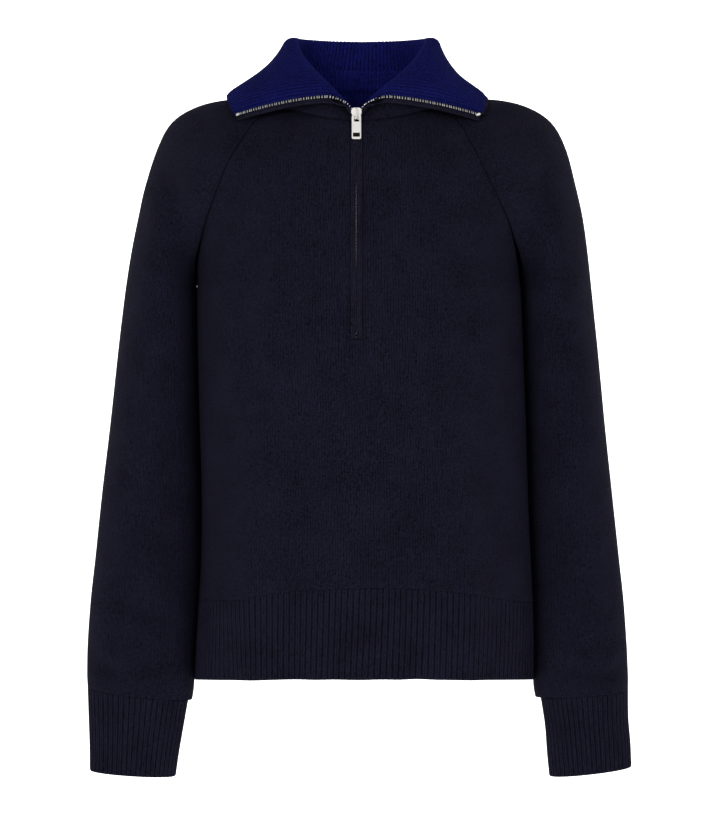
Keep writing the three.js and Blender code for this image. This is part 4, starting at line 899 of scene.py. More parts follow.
collar_outer = wall_mesh(
    "rib_collar_outer", outer_middle + outer_shift - outer_normals * back_height[..., None],
    outer_middle + outer_shift - outer_normals * (SEAM / 2), 2 * across, along, None,
    {"rib": outer_rib, "lit": under_fold})

# %% [markdown]
# The zip starts at the placket's foot, runs up the middle of the front, parts at the slider, and turns
# out along both free ends of the collar. One path for each half carries the direction across to the
# other half and the direction into the garment, and every strip and tooth is placed from it.

# %% The zip's path
OPEN_FROM_Z, LAYERS_TURN_Z, NARROW_FROM_Z = -22, -48, -66
TAPE_WIDTH, NARROW_HALF, TAPE_THICK = 13, 4.2, 0.5
PLACKET_LAYERS = {"bandFrom": -1.6, "bandTo": 0.8, "chain": 2.2, "tape": 2.2}
COLLAR_LAYERS = {"bandFrom": -4.4, "bandTo": -2.0, "chain": 0.15, "tape": -0.2}
ZIP_STEP = 1.0


def front_at(z):
    """The front's outer face on the zip's centre line, for heights that rise."""
    steps = np.linspace(0, 8, 400)
    chest = smooth(YOKE, "step", steps)["chestZ"]
    high = z > UNDERARM_Z

    def middle(lines):
        return pick(lines, np.array([share_at_x(line, ZIP_X) for line in lines]))

    return np.concatenate([middle(torso_lines(z[~high], "front")),
                           middle(yoke_lines(np.interp(-z[high], -chest, steps), "front"))])


def zip_path(side):
    sign = 1.0 if side == "left" else -1.0
    low = front_at(np.linspace(ZIP_FOOT_Z + SEAM, OPEN_FROM_Z, 120)) + (0, COLLAR_INSET, 0)
    high, high_across = zip_edge(side)
    p = np.concatenate([low, high])
    across = np.concatenate([np.tile((sign, 0, 0), (len(low), 1)), high_across])
    opened = np.concatenate([np.zeros(len(low)), np.ones(len(high))])
    sums = travel(p)
    at = np.linspace(0, sums[-1], int(sums[-1] / ZIP_STEP) + 1)
    p, across = (np.stack([np.interp(at, sums, v[:, k]) for k in range(3)], -1) for v in (p, across))
    for _ in range(4):
        p[1:-1] = (p[:-2] + 2 * p[1:-1] + p[2:]) / 4
    opened = np.interp(at, sums, opened) > 0.5
    up = unit(np.gradient(p, axis=0))
    across = unit(across - (across * up).sum(-1, keepdims=True) * up)
    for _ in range(6):
        across[1:-1] = unit(across[:-2] + 2 * across[1:-1] + across[2:])
    return {"p": p, "up": up, "across": across, "inner": unit(np.cross(up, across) * sign), "at": at,
            "open": opened, "layers": np.where(opened, 1, ease(p[:, 2], LAYERS_TURN_Z, OPEN_FROM_Z)),
            "narrow": np.where(opened, 1, ease(p[:, 2], NARROW_FROM_Z, LAYERS_TURN_Z))}


def layer(path, name):
    return mix(PLACKET_LAYERS[name], COLLAR_LAYERS[name], path["layers"])


def rounded(low, high, front, back, radius, corner=3):
    """A rounded section for each row, as distances across and inwards."""
    points = []
    for x, y, start in ((low, front, 180), (high, front, 270), (high, back, 0), (low, back, 90)):
        cx = x + radius if x is low else x - radius
        cy = y + radius if y is front else y - radius
        for angle in np.radians(start + np.linspace(0, 90, corner)):
            points.append(np.stack(np.broadcast_arrays(cx + radius * np.cos(angle),
                                                       cy + radius * np.sin(angle)), -1))
    return np.stack(points, axis=1)


def strip(name, path, section, rows=slice(None)):
    section = section[rows]
    place = {k: path[k][rows][:, None] for k in ("p", "across", "inner")}
    rings = place["p"] + section[..., :1] * place["across"] + section[..., 1:] * place["inner"]
    count, sides = rings.shape[:2]
    ids = np.arange(count * sides).reshape(count, sides)
    nxt = np.roll(ids, -1, axis=1)
    faces = np.stack([ids[:-1], nxt[:-1], nxt[1:], ids[1:]], -1).reshape(-1, 4).tolist()
    faces += [ids[0].tolist(), ids[-1].tolist()]
    mesh = bpy.data.meshes.new(name)
    mesh.from_pydata((rings.reshape(-1, 3) * MM).tolist(), [], faces)
    uv = mesh.uv_layers.new(name="knit")
    corner = np.empty(len(mesh.loops), np.int32)
    mesh.loops.foreach_get("vertex_index", corner)
    flat = np.stack([section[..., 0], np.broadcast_to(path["at"][rows][:, None], ids.shape)], -1)
    uv.data.foreach_set("uv", flat.reshape(-1, 2)[corner].astype(np.float32).ravel())
    mesh.polygons.foreach_set("use_smooth", np.ones(len(mesh.polygons), bool))
    solid = bmesh.new()
    solid.from_mesh(mesh)
    bmesh.ops.recalc_face_normals(solid, faces=solid.faces)
    solid.to_mesh(mesh)
    solid.free()
    return link(name, mesh)


ZIPS = {side: zip_path(side) for side in ("left", "right")}
print("each half of the zip is", round(float(ZIPS["left"]["at"][-1])), "mm long")

# %% [markdown]
# Folded knit bands hide the closed chain, and their lips meet in front of it. They stand a little
# apart over the upper chest and at the foot, where the teeth glint through.

# %% Bands, tapes and the bar at the foot
GAPS = table("from to half", (-175, -76, 0.56), (-243, -234, 0.5))
CLOSED_LIP = 0.03
COLLAR_LIP = 3.9
bands, tapes = {}, {}
for side, path in ZIPS.items():
    z = path["p"][:, 2]
    lip = np.full(len(z), CLOSED_LIP)
    for gap in GAPS:
        middle_z, half = (gap["from"] + gap["to"]) / 2, (gap["to"] - gap["from"]) / 2
        lip = lip + (gap["half"] - CLOSED_LIP) * (1 - ease(np.abs(z - middle_z), half * 0.55, half * 1.1))
    out = np.abs(path["p"][:, 0] - ZIP_X)
    by_slider = ease(z, -27, -20) * (1 - ease(out, 7, 12))
    lip = np.maximum(lip, by_slider * np.maximum(5.6 - out, 0.4))
    edge = np.where(path["open"], mix(-lip, COLLAR_LIP, ease(out, 7, 16)), -lip)
    far = np.where(path["open"], -NARROW_HALF, 0.35 - SLIT_HALF)
    bands[side] = strip("band_" + side, path, rounded(far, edge, layer(path, "bandFrom"),
                                                      layer(path, "bandTo"), 0.7))
    wide = -mix(TAPE_WIDTH, NARROW_HALF, path["narrow"])
    low = layer(path, "tape")
    tapes[side] = strip("tape_" + side, path, rounded(wide, np.full(len(z), -1.6), low,
                                                      low + TAPE_THICK, 0.2, 2))
    print(side, "band and tape rows:", len(z))

# %% [markdown]
# Teeth repeat by the hundred, so Geometry Nodes places them: a tree takes a cloud of points that each
# hold a turn, puts the same small shape on every point, and makes one plain mesh of them. Stitches and
# the little marks beside the raglan seams use the same tree.


# %% Repeated shapes
def scatter(name, shape, points, across, inner, up):
    from mathutils import Matrix

    mesh = bpy.data.meshes.new(name + "_points")
    mesh.from_pydata((np.asarray(points) * MM).tolist(), [], [])
    frames = np.stack([across, inner, up], axis=-1)
    turns = np.array([tuple(Matrix(m.tolist()).to_euler()) for m in frames], np.float32)
    mesh.attributes.new("turn", "FLOAT_VECTOR", "POINT").data.foreach_set("vector", turns.ravel())
    made = link(name, mesh)
    tree = bpy.data.node_groups.new(name + "_tree", "GeometryNodeTree")
    tree.interface.new_socket("Geometry", in_out="INPUT", socket_type="NodeSocketGeometry")
    chosen = tree.interface.new_socket("Shape", in_out="INPUT", socket_type="NodeSocketObject")
    finish = tree.interface.new_socket("Finish", in_out="INPUT", socket_type="NodeSocketMaterial")
    tree.interface.new_socket("Geometry", in_out="OUTPUT", socket_type="NodeSocketGeometry")
    nodes, links = tree.nodes, tree.links
    start, end = nodes.new("NodeGroupInput"), nodes.new("NodeGroupOutput")
    info = nodes.new("GeometryNodeObjectInfo")
    turn = nodes.new("GeometryNodeInputNamedAttribute")
    turn.data_type = "FLOAT_VECTOR"
    turn.inputs["Name"].default_value = "turn"
    to_rotation = nodes.new("FunctionNodeEulerToRotation")
    place = nodes.new("GeometryNodeInstanceOnPoints")
    real = nodes.new("GeometryNodeRealizeInstances")
    paint = nodes.new("GeometryNodeSetMaterial")
    links.new(start.outputs["Shape"], info.inputs["Object"])
    links.new(start.outputs["Geometry"], place.inputs["Points"])
    links.new(info.outputs["Geometry"], place.inputs["Instance"])
    links.new(turn.outputs["Attribute"], to_rotation.inputs["Euler"])
    links.new(to_rotation.outputs["Rotation"], place.inputs["Rotation"])
    links.new(place.outputs["Instances"], real.inputs["Geometry"])
    links.new(real.outputs["Geometry"], paint.inputs["Geometry"])
    links.new(start.outputs["Finish"], paint.inputs["Material"])
    links.new(paint.outputs["Geometry"], end.inputs["Geometry"])
    modifier = made.modifiers.new("place", "NODES")
    modifier.node_group = tree
    modifier[chosen.identifier] = shape
    modifier[finish.identifier] = shape.data.materials[0] if shape.data.materials else None
    ready = made.evaluated_get(bpy.context.evaluated_depsgraph_get())
    plain = bpy.data.meshes.new_from_object(ready)
    made.modifiers.clear()
    made.data = plain
    bpy.data.objects.remove(shape)
    print(name, "copies:", len(points), "faces:", len(plain.polygons))
    return made


def block(name, size, bevel, segments=1, shift=(0, 0, 0)):
    """A small bevelled block, in millimetres."""
    soft = bmesh.new()
    bmesh.ops.create_cube(soft, size=1)
    for v in soft.verts:
        v.co = [c * s * MM + d * MM for c, s, d in zip(v.co, size, shift)]
    bmesh.ops.bevel(soft, geom=soft.edges[:], offset=bevel * MM, segments=segments, affect="EDGES")
    mesh = bpy.data.meshes.new(name)
    soft.to_mesh(mesh)
    soft.free()
    return link(name, mesh)


def drop_shape(name, size, parts):
    """Small flattened beads, one for each part: its place and its turn in its own plane."""
    soft = bmesh.new()
    for x, z, turn in parts:
        made = bmesh.ops.create_icosphere(soft, subdivisions=1, radius=1)
        for v in made["verts"]:
            a, b, c = (v.co[k] * size[k] for k in range(3))
            v.co = ((a * np.cos(turn) - c * np.sin(turn) + x) * MM, b * MM,
                    (a * np.sin(turn) + c * np.cos(turn) + z) * MM)
    mesh = bpy.data.meshes.new(name)
    soft.to_mesh(mesh)
    soft.free()
    mesh.polygons.foreach_set("use_smooth", np.ones(len(mesh.polygons), bool))
    return link(name, mesh)


PITCH = 2.71
TOOTH = {"across": 2.7, "deep": 1.7, "along": 0.8}
teeth, stops = {}, {}
for side, path in ZIPS.items():
    shift = 0 if side == "left" else PITCH / 2
    places = np.arange(2 + shift, path["at"][-1] - 5, PITCH)
    nearest = np.clip(np.round(places / ZIP_STEP).astype(int), 0, len(path["at"]) - 1)
    frame_at = {k: path[k][nearest] for k in ("p", "across", "inner", "up")}
    reach = np.where(path["open"][nearest], -1.45, -1.15 if side == "left" else -2.7)[:, None]
    depth = layer(path, "chain")[nearest][:, None]
    shape = block("tooth_" + side, (TOOTH["across"], TOOTH["deep"], TOOTH["along"]), 0.25)
    teeth[side] = scatter("teeth_" + side, shape,
                          frame_at["p"] + reach * frame_at["across"] + depth * frame_at["inner"],
                          frame_at["across"], frame_at["inner"], frame_at["up"])
    last = len(path["p"]) - 4
    shape = block("stop_shape_" + side, (2.9, 2.2, 4.6), 0.6, 2)
    stops[side] = scatter("top_stop_" + side, shape,
                          [path["p"][last] - 1.4 * path["across"][last] + 0.15 * path["inner"][last]],
                          path["across"][last:last + 1], path["inner"][last:last + 1],
                          path["up"][last:last + 1])

# %% [markdown]
# The slider is a cast body: a front plate, a narrower back plate, the post that parts the two
# halves, and a bridge. The pull tab hangs from the bridge and leans out over the knit. It is the one
# piece that moves by itself, so it rides on its own body.

# %% The slider and its pull tab
WALL_Y = -96.1
PLATE_FRONT_Y, PLATE = -98.4, 1.0
PIVOT_Y, PIVOT_Z, LEAN = -100.25, -14.45, 11.5
SLIDER_OUTLINE = table("z half", (-17.6, 2.6), (-17.2, 3.3), (-15.6, 3.8), (-13.4, 4.2), (-12.2, 4.9),
                       (-10.9, 5.3), (-9.4, 5.3), (-8.3, 4.8), (-7.2, 4.5), (-6.4, 3.9), (-6.0, 3.0))


def plate(name, outline, front, back, bevel, holes=(), segments=2):
    """A flat plate in x and z with bevelled rims, between two depths. Holes are rectangles."""
    soft = bmesh.new()
    loops = [outline] + list(holes)
    edges = []
    for loop in loops:
        ring = [soft.verts.new((x * MM, front * MM, z * MM)) for x, z in loop]
        edges += [soft.edges.new((a, b)) for a, b in zip(ring, ring[1:] + ring[:1])]
    filled = bmesh.ops.triangle_fill(soft, use_beauty=True, use_dissolve=False, edges=edges)
    flat = [g for g in filled["geom"] if isinstance(g, bmesh.types.BMFace)]
    raised = bmesh.ops.extrude_face_region(soft, geom=flat)
    for v in (g for g in raised["geom"] if isinstance(g, bmesh.types.BMVert)):
        v.co.y = back * MM
    bmesh.ops.recalc_face_normals(soft, faces=soft.faces)
    sharp = [e for e in soft.edges if len(e.link_faces) == 2 and e.calc_face_angle() > 0.9]
    bmesh.ops.bevel(soft, geom=sharp, offset=bevel * MM, segments=segments, affect="EDGES",
                    clamp_overlap=True)
    mesh = bpy.data.meshes.new(name)
    soft.to_mesh(mesh)
    soft.free()
    return link(name, mesh)


def symmetric(outline):
    right = [(ZIP_X + r["half"], r["z"]) for r in outline]
    return right + [(ZIP_X - r["half"], r["z"]) for r in reversed(outline)]


BACK_HALF = 3.1
pieces = [plate("slider_front", symmetric(SLIDER_OUTLINE), PLATE_FRONT_Y, PLATE_FRONT_Y + PLATE, 0.35)]
narrow = [{"z": r["z"], "half": min(r["half"], BACK_HALF)} for r in SLIDER_OUTLINE]
pieces.append(plate("slider_back", symmetric(narrow), WALL_Y + 1.9, WALL_Y + 2.9, 0.3))
post = block("slider_post", (1.8, 3.6, 5.4), 0.25, 1, (ZIP_X, WALL_Y + 0.3, -9.1))
pieces.append(post)
arch = np.array([(0.3, -7.9), (-1.2, -7.9), (-2.6, -8.2), (-3.35, -9.0), (-3.6, -10.2), (-3.6, -12.2),
                 (-3.6, -14.2), (-3.4, -15.5), (-2.6, -16.2), (-1.2, -16.4), (0.3, -16.4)], float)
arch = resample(xyz(ZIP_X, PLATE_FRONT_Y + arch[:, 0], arch[:, 1]), 32)
bridge = tube("slider_bridge", arch, 1.55, 12, squash=0.38, normals=np.tile((1.0, 0, 0), (32, 1)))
pieces.append(bridge)
slider = join("zip_slider", pieces)


def corners(half, high, low, radius, steps=5):
    """A rectangle with rounded corners, as points."""
    points = []
    for cx, cz, start in ((half - radius, high - radius, 0), (-half + radius, high - radius, 90),
                          (-half + radius, low + radius, 180), (half - radius, low + radius, 270)):
        for angle in np.radians(start + np.linspace(0, 90, steps)):
            points.append((cx + radius * np.cos(angle), cz + radius * np.sin(angle)))
    return points


tab = plate("zip_pull", corners(4.75, 0.75, -24.6, 1.5), -0.7, 0.7, 0.3,
            [corners(2.5, -0.75, -6.2, 0.5, 3), corners(3.4, -18.0, -22.0, 0.4, 3)])
lean = np.radians(LEAN)
# The slot near the pull tab's lower end reads black. A dark plate in it is a guess at the reason.
slot = plate("pull_slot", corners(3.5, -17.9, -22.1, 0.4, 3), -0.5, 0.5, 0.05, (), 1)
for piece in (tab, slot):
    for v in piece.data.vertices:
        x, y, z = v.co
        v.co = (x + ZIP_X * MM, y * np.cos(lean) + z * np.sin(lean) + PIVOT_Y * MM,
                z * np.cos(lean) - y * np.sin(lean) + PIVOT_Z * MM)
print("slider faces:", len(slider.data.polygons), "tab faces:", len(tab.data.polygons))

# %% [markdown]
# The panels meet edge to edge in linked seams that read as fine dark lines. Their cords are sunk to lie
# 0.2 mm below the surface, and those round the neck stand 0.2 mm above it. Beside the raglan seams small
# paired marks show where the panel was narrowed, stitch by stitch, as it was knitted.

# %% Seams, marks and stitches
SEAM_RADIUS, SEAM_SINK = 1.15, 1.35


def seam_cord(name, path, normals, count, closed=False, radius=SEAM_RADIUS, sink=SEAM_SINK):
    path = path - sink * normals
    line = resample(path, count + 1)
    normal = unit(np.stack([np.interp(np.linspace(0, 1, count + 1), travel(path) / travel(path)[-1],
                                      normals[:, k]) for k in range(3)], -1))
    if closed:
        line, normal = line[:-1], normal[:-1]
    return tube(name, line, radius, 8, closed, normals=normal)


cords = []
steps = np.linspace(0, 8, 80)
row = smooth(YOKE, "step", steps)
for face, panel in (("front", front_normals), ("back", back_normals)):
    for side in ("Left", "Right"):
        seam = xyz(row["seam" + side], row[face + "Y"], row[face + "Z"])
        end = 0 if (face == "front") == (side == "Left") else -1
        rows = panel[:YOKE_ROWS, end]
        normal = unit(np.stack([np.interp(steps, np.linspace(0, 8, YOKE_ROWS), rows[:, k])
                                for k in range(3)], -1))
        cords.append(seam_cord("raglan_seam_" + face + side, seam, normal, 110))
drop_z = np.linspace(-187, -512, 60)
for side, outward in (("left", -1.0), ("right", 1.0)):
    seam = xyz(smooth(TORSO, "z", drop_z)[side], SIDE_Y, drop_z)
    cords.append(seam_cord("side_seam_" + side, seam, np.tile((outward, 0, 0), (60, 1)), 110))
    neck = NECK[side]
    out = unit(xyz(neck[:, 0] - MID_X, neck[:, 1] - NECK_MIDDLE_Y, 0))
    cords.append(seam_cord("neck_seam_" + side, neck, out, 140, radius=1.25, sink=1.05))
for face in ("front", "back"):
    top = hem_grids[face]
    cords.append(seam_cord("hem_seam_" + face, top[0] + (top[0] - top[1]) * 0.1,
                           grid_normals(top)[0], 200))
for side in ("left", "right"):
    top = cuff_grids[side]
    cords.append(seam_cord("cuff_seam_" + side, top[0] + (top[0] - top[1]) * 0.1,
                           grid_normals(top, np.ones(len(top), bool))[0], 110, True))
seams = join("seam_cords", cords)

MARK_FROM_SEAM, MARK_EVERY = 11.5, 12.0
mark_points, mark_frames = [], []


def mark_line(grid, normals, rows, from_end):
    grid, normals = grid[:rows], normals[:rows]
    if from_end:
        grid, normals = grid[:, ::-1], normals[:, ::-1]
    sums = travel(grid)
    line, normal = np.empty((rows, 3)), np.empty((rows, 3))
    for i in range(rows):
        for k in range(3):
            line[i, k] = np.interp(MARK_FROM_SEAM, sums[i], grid[i, :, k])
            normal[i, k] = np.interp(MARK_FROM_SEAM, sums[i], normals[i, :, k])
    sums = travel(line)
    for at in np.arange(20, sums[-1] - 8, MARK_EVERY):
        p = np.array([np.interp(at, sums, line[:, k]) for k in range(3)])
        n = unit(np.array([np.interp(at, sums, normal[:, k]) for k in range(3)]))
        ahead = np.array([np.interp(at + 2, sums, line[:, k]) for k in range(3)])
        up = unit(p - ahead - ((p - ahead) @ n) * n)
        mark_points.append(p + 0.08 * n)
        mark_frames.append((np.cross(-n, up), -n, up))


for grid, normals in ((front_grid, front_normals), (back_grid, back_normals)):
    for from_end in (False, True):
        mark_line(grid, normals, YOKE_ROWS - 4, from_end)
for side in ("left", "right"):
    grid, normals = sleeve_grids[side]
    for from_end in (False, True):
        mark_line(grid, normals, CAP_ROWS - 4, from_end)
frames = np.array(mark_frames)
marks = scatter("fashioning_marks", drop_shape("mark_shape", (0.8, 0.3, 2.0),
                                               ((-1.0, 0, 0.45), (1.0, 0, -0.45))),
                np.array(mark_points), frames[:, 0], frames[:, 1], frames[:, 2])

STITCH_EVERY = 3.4
stitch_points, stitch_frames = [], []
top_face = middle + collar_normals * (SEAM / 2 + PLY - 0.35)
for from_end in (False, True):
    grid = top_face[STAND_CELLS + 1:, ::-1] if from_end else top_face[STAND_CELLS + 1:]
    normal_grid = collar_normals[STAND_CELLS + 1:, ::-1] if from_end else collar_normals[STAND_CELLS + 1:]
    sums = travel(grid[:, :120])
    line = np.array([[np.interp(CHANNEL_FROM_ZIP, sums[i], grid[i, :120, k]) for k in range(3)]
                     for i in range(len(grid))])
    normal = np.array([[np.interp(CHANNEL_FROM_ZIP, sums[i], normal_grid[i, :120, k])
                        for k in range(3)] for i in range(len(grid))])
    sums = travel(line)
    for at in np.arange(2, sums[-1] - 2, STITCH_EVERY):
        p, n, ahead = (np.array([np.interp(s, sums, v[:, k]) for k in range(3)])
                       for s, v in ((at, line), (at, normal), (at + 1, line)))
        n = unit(n)
        up = unit(p - ahead - ((p - ahead) @ n) * n)
        stitch_points.append(p)
        stitch_frames.append((np.cross(-n, up), -n, up))
frames = np.array(stitch_frames)
stitches = scatter("collar_stitches", drop_shape("stitch_shape", (0.35, 0.25, 1.2), ((0, 0, 0),)),
                   np.array(stitch_points), frames[:, 0], frames[:, 1], frames[:, 2])
bar_y = float(front_at(np.array([-246.0]))[0, 1])
foot_bar = block("placket_foot", (12.6, 1.6, 4.4), 0.6, 2, (ZIP_X, bar_y + 0.45, -245.0))

# The facing's lower edge is taken to be sewn down inside the back of the neck, in a shallow crescent.
CRESCENT_HALF, CRESCENT_DEEP, CRESCENT_ROWS = 62, 22, 12
FACING_ROWS = (4, 3, 2, 1)
crescent_x = np.linspace(CRESCENT_HALF, -CRESCENT_HALF, 361) + 4.5
sheet_at = np.stack([[np.interp(crescent_x, back_grid[i, ::-1, 0], back_grid[i, ::-1, k])
                      for k in range(3)] for i in range(14)]).transpose(0, 2, 1)
sheet_normal = np.stack([[np.interp(crescent_x, back_grid[i, ::-1, 0], back_normals[i, ::-1, k])
                          for k in range(3)] for i in range(14)]).transpose(0, 2, 1)
depth_at = CRESCENT_DEEP * (1 - 0.92 * ((crescent_x - 4.5) / CRESCENT_HALF) ** 2)
crescent, crescent_normal = np.empty((2, CRESCENT_ROWS, len(crescent_x), 3))
for j, deep in enumerate(depth_at):
    sums = travel(sheet_at[:, j])
    wanted = np.linspace(0, deep, CRESCENT_ROWS)
    for k in range(3):
        crescent[:, j, k] = np.interp(wanted, sums, sheet_at[:, j, k])
        crescent_normal[:, j, k] = np.interp(wanted, sums, sheet_normal[:, j, k])
crescent_normal = unit(crescent_normal)
crescent = crescent - (KNIT + SEAM) * crescent_normal
half = slice(columns // 4, 3 * columns // 4)
above, above_normal = np.empty((2, len(FACING_ROWS), len(crescent_x), 3))
for i, r in enumerate(FACING_ROWS):
    for k in range(3):
        above[i, :, k] = np.interp(-crescent_x, -middle[r, half, 0], middle[r, half, k])
        above_normal[i, :, k] = np.interp(-crescent_x, -middle[r, half, 0], -collar_normals[r, half, k])
above = above - (SEAM / 2 + PLY - 0.9) * unit(above_normal)
crescent = np.concatenate([above, crescent[2:]])
crescent_normal = np.concatenate([unit(above_normal), crescent_normal[2:]])
rib_at = np.tile(np.interp(-crescent_x, -middle[2, half, 0], rib[2, half]), (len(crescent), 1))
thick = (1.0 - 0.4 * (1 - rib_at))[..., None]
# Painted light: the crescent's colour grows lighter towards its lowest rows.
foot_light = np.tile(np.linspace(INSIDE_LIGHT, FOOT_LIGHT, len(crescent))[:, None], (1, len(crescent_x)))
facing_foot = wall_mesh(
    "collar_facing_foot", (crescent - thick * crescent_normal)[:, ::-1], crescent[:, ::-1],
    np.tile(crescent_x[::-1], (len(crescent), 1)),
    np.tile(np.linspace(0, CRESCENT_DEEP, len(crescent))[:, None], (1, len(crescent_x))), None,
    {"rib": rib_at, "lit": foot_light})

# %% [markdown]
# Dark wool is almost black, so its look comes from the relief of the stitches and from the fine fuzz
# that catches light at grazing angles. The stitch pattern is a small calculation: every wale is a pair
# of slanted legs, each course lifts them once, and the grooves between them get painted shade.

# %% Materials
WALE, COURSE = 2.8, 2.2
WALE_GROOVE, SPECK, RIB_SHADE = 0.62, 2.6, 0.32


class Nodes:
    """Builds a material's tree with short calls."""

    def __init__(self, name):
        self.material = bpy.data.materials.new(name)
        self.material.use_nodes = True
        self.tree = self.material.node_tree
        self.shader = self.tree.nodes["Principled BSDF"]

    def link(self, source, target):
        self.tree.links.new(source, target)

    def math(self, kind, a, b=None, c=None):
        node = self.tree.nodes.new("ShaderNodeMath")
        node.operation = kind
        for socket, value in zip(node.inputs, (a, b, c)):
            if isinstance(value, (int, float)):
                socket.default_value = value
            elif value is not None:
                self.link(value, socket)
        return node.outputs[0]

    def attribute(self, name):
        node = self.tree.nodes.new("ShaderNodeAttribute")
        node.attribute_name = name
        return node.outputs["Fac"]

    def place(self):
        uv = self.tree.nodes.new("ShaderNodeUVMap")
        uv.uv_map = "knit"
        split = self.tree.nodes.new("ShaderNodeSeparateXYZ")
        self.link(uv.outputs[0], split.inputs[0])
        return split.outputs[0], split.outputs[1]

    def noise(self, scale, detail=3):
        where = self.tree.nodes.new("ShaderNodeTexCoord")
        node = self.tree.nodes.new("ShaderNodeTexNoise")
        node.inputs["Scale"].default_value = scale
        node.inputs["Detail"].default_value = detail
        self.link(where.outputs["Object"], node.inputs["Vector"])
        return node.outputs["Fac"]

    def colours(self, fac, low, high, gain=None):
        node = self.tree.nodes.new("ShaderNodeMix")
        node.data_type = "RGBA"
        node.inputs["A"].default_value = (*low, 1)
        node.inputs["B"].default_value = (*high, 1)
        self.link(fac, node.inputs["Factor"])
        result = node.outputs["Result"]
        if gain is not None:
            scale = self.tree.nodes.new("ShaderNodeVectorMath")
            scale.operation = "SCALE"
            self.link(result, scale.inputs[0])
            self.link(gain, scale.inputs["Scale"])
            result = scale.outputs[0]
        self.link(result, self.shader.inputs["Base Color"])

    def bump(self, height, distance, strength=1.0):
        node = self.tree.nodes.new("ShaderNodeBump")
        node.inputs["Distance"].default_value = distance * MM
        node.inputs["Strength"].default_value = strength
        self.link(height, node.inputs["Height"])
        self.link(node.outputs["Normal"], self.shader.inputs["Normal"])

    def wool(self, sheen, specular=0.02):
        values = {"Roughness": 0.95, "Specular IOR Level": specular, "Sheen Weight": sheen,
                  "Sheen Roughness": 0.5}
        for name, value in values.items():
            self.shader.inputs[name].default_value = value


def stitch_height(nodes, u, v, wale, course):
    """Height of a knitted face: two slanted legs for each wale, lifted once for each course."""
    side = nodes.math("FRACT", nodes.math("DIVIDE", u, wale))
    from_middle = nodes.math("ABSOLUTE", nodes.math("MULTIPLY_ADD", side, 2, -1))
    groove = nodes.math("MULTIPLY", nodes.math("POWER", from_middle, 3), WALE_GROOVE)
    wale_round = nodes.math("SUBTRACT", 1, groove)
    leg = nodes.math("FRACT", nodes.math("MULTIPLY", side, 2))
    across = nodes.math("MULTIPLY_ADD", leg, 2, -1)
    leg_round = nodes.math("SUBTRACT", 1, nodes.math("MULTIPLY", across, across))
    lifted = nodes.math("ADD", nodes.math("DIVIDE", v, course), nodes.math("MULTIPLY", from_middle, 0.8))
    turn = nodes.math("MULTIPLY_ADD", nodes.math("FRACT", lifted), 2, -1)
    course_round = nodes.math("SUBTRACT", 1, nodes.math("MULTIPLY", turn, turn))
    legs = nodes.math("MULTIPLY", leg_round, nodes.math("MULTIPLY_ADD", course_round, 0.6, 0.4))
    return nodes.math("MULTIPLY", wale_round, nodes.math("MULTIPLY_ADD", legs, 0.65, 0.35))


def knit_material(name, low, high, sheen, tint, ribbed=False, follow_seam=False, wale=WALE):
    nodes = Nodes(name)
    u, v = nodes.place()
    if follow_seam:
        edge = nodes.attribute("edge")
        near = nodes.math("LESS_THAN", edge, 13.0)
        u = nodes.math("ADD", nodes.math("MULTIPLY", u, nodes.math("SUBTRACT", 1, near)),
                       nodes.math("MULTIPLY", edge, near))
    height = stitch_height(nodes, u, v, wale, COURSE)
    fuzz = nodes.noise(650, 3)
    patch = nodes.noise(30, 2)
    speck = nodes.math("MULTIPLY", nodes.math("SUBTRACT", fuzz, 0.5), SPECK)
    # Painted shade: the stitch height darkens the colour in the grooves. The fuzz and patch noise vary
    # the tone at random.
    shade = nodes.math("ADD", nodes.math("MULTIPLY", height, 0.95), speck)
    shade = nodes.math("ADD", shade, nodes.math("MULTIPLY", nodes.math("SUBTRACT", patch, 0.5), 0.5))
    gain = None
    if ribbed:
        rib = nodes.attribute("rib")
        # Painted shade: the ribs' grooves are coloured darker. The `lit` value then scales the colour as
        # painted light and shade.
        shade = nodes.math("MULTIPLY", shade, nodes.math("MULTIPLY_ADD", rib, RIB_SHADE, 0.68))
        gain = nodes.math("ADD", nodes.attribute("lit"), 1)
    nodes.colours(shade, low, high, gain)
    nodes.bump(nodes.math("ADD", height, nodes.math("MULTIPLY", fuzz, 0.6)), 0.8)
    nodes.wool(sheen)
    nodes.shader.inputs["Sheen Tint"].default_value = (*tint, 1)
    return nodes.material


def plain_material(name, colour, roughness, metallic=0.0, grain=0.0):
    nodes = Nodes(name)
    nodes.shader.inputs["Roughness"].default_value = roughness
    nodes.shader.inputs["Metallic"].default_value = metallic
    nodes.shader.inputs["Specular IOR Level"].default_value = 0.5 if metallic else 0.02
    shade = nodes.noise(260, 3)
    nodes.colours(shade, [c * (1 - grain) for c in colour], [min(1, c * (1 + grain)) for c in colour])
    return nodes.material


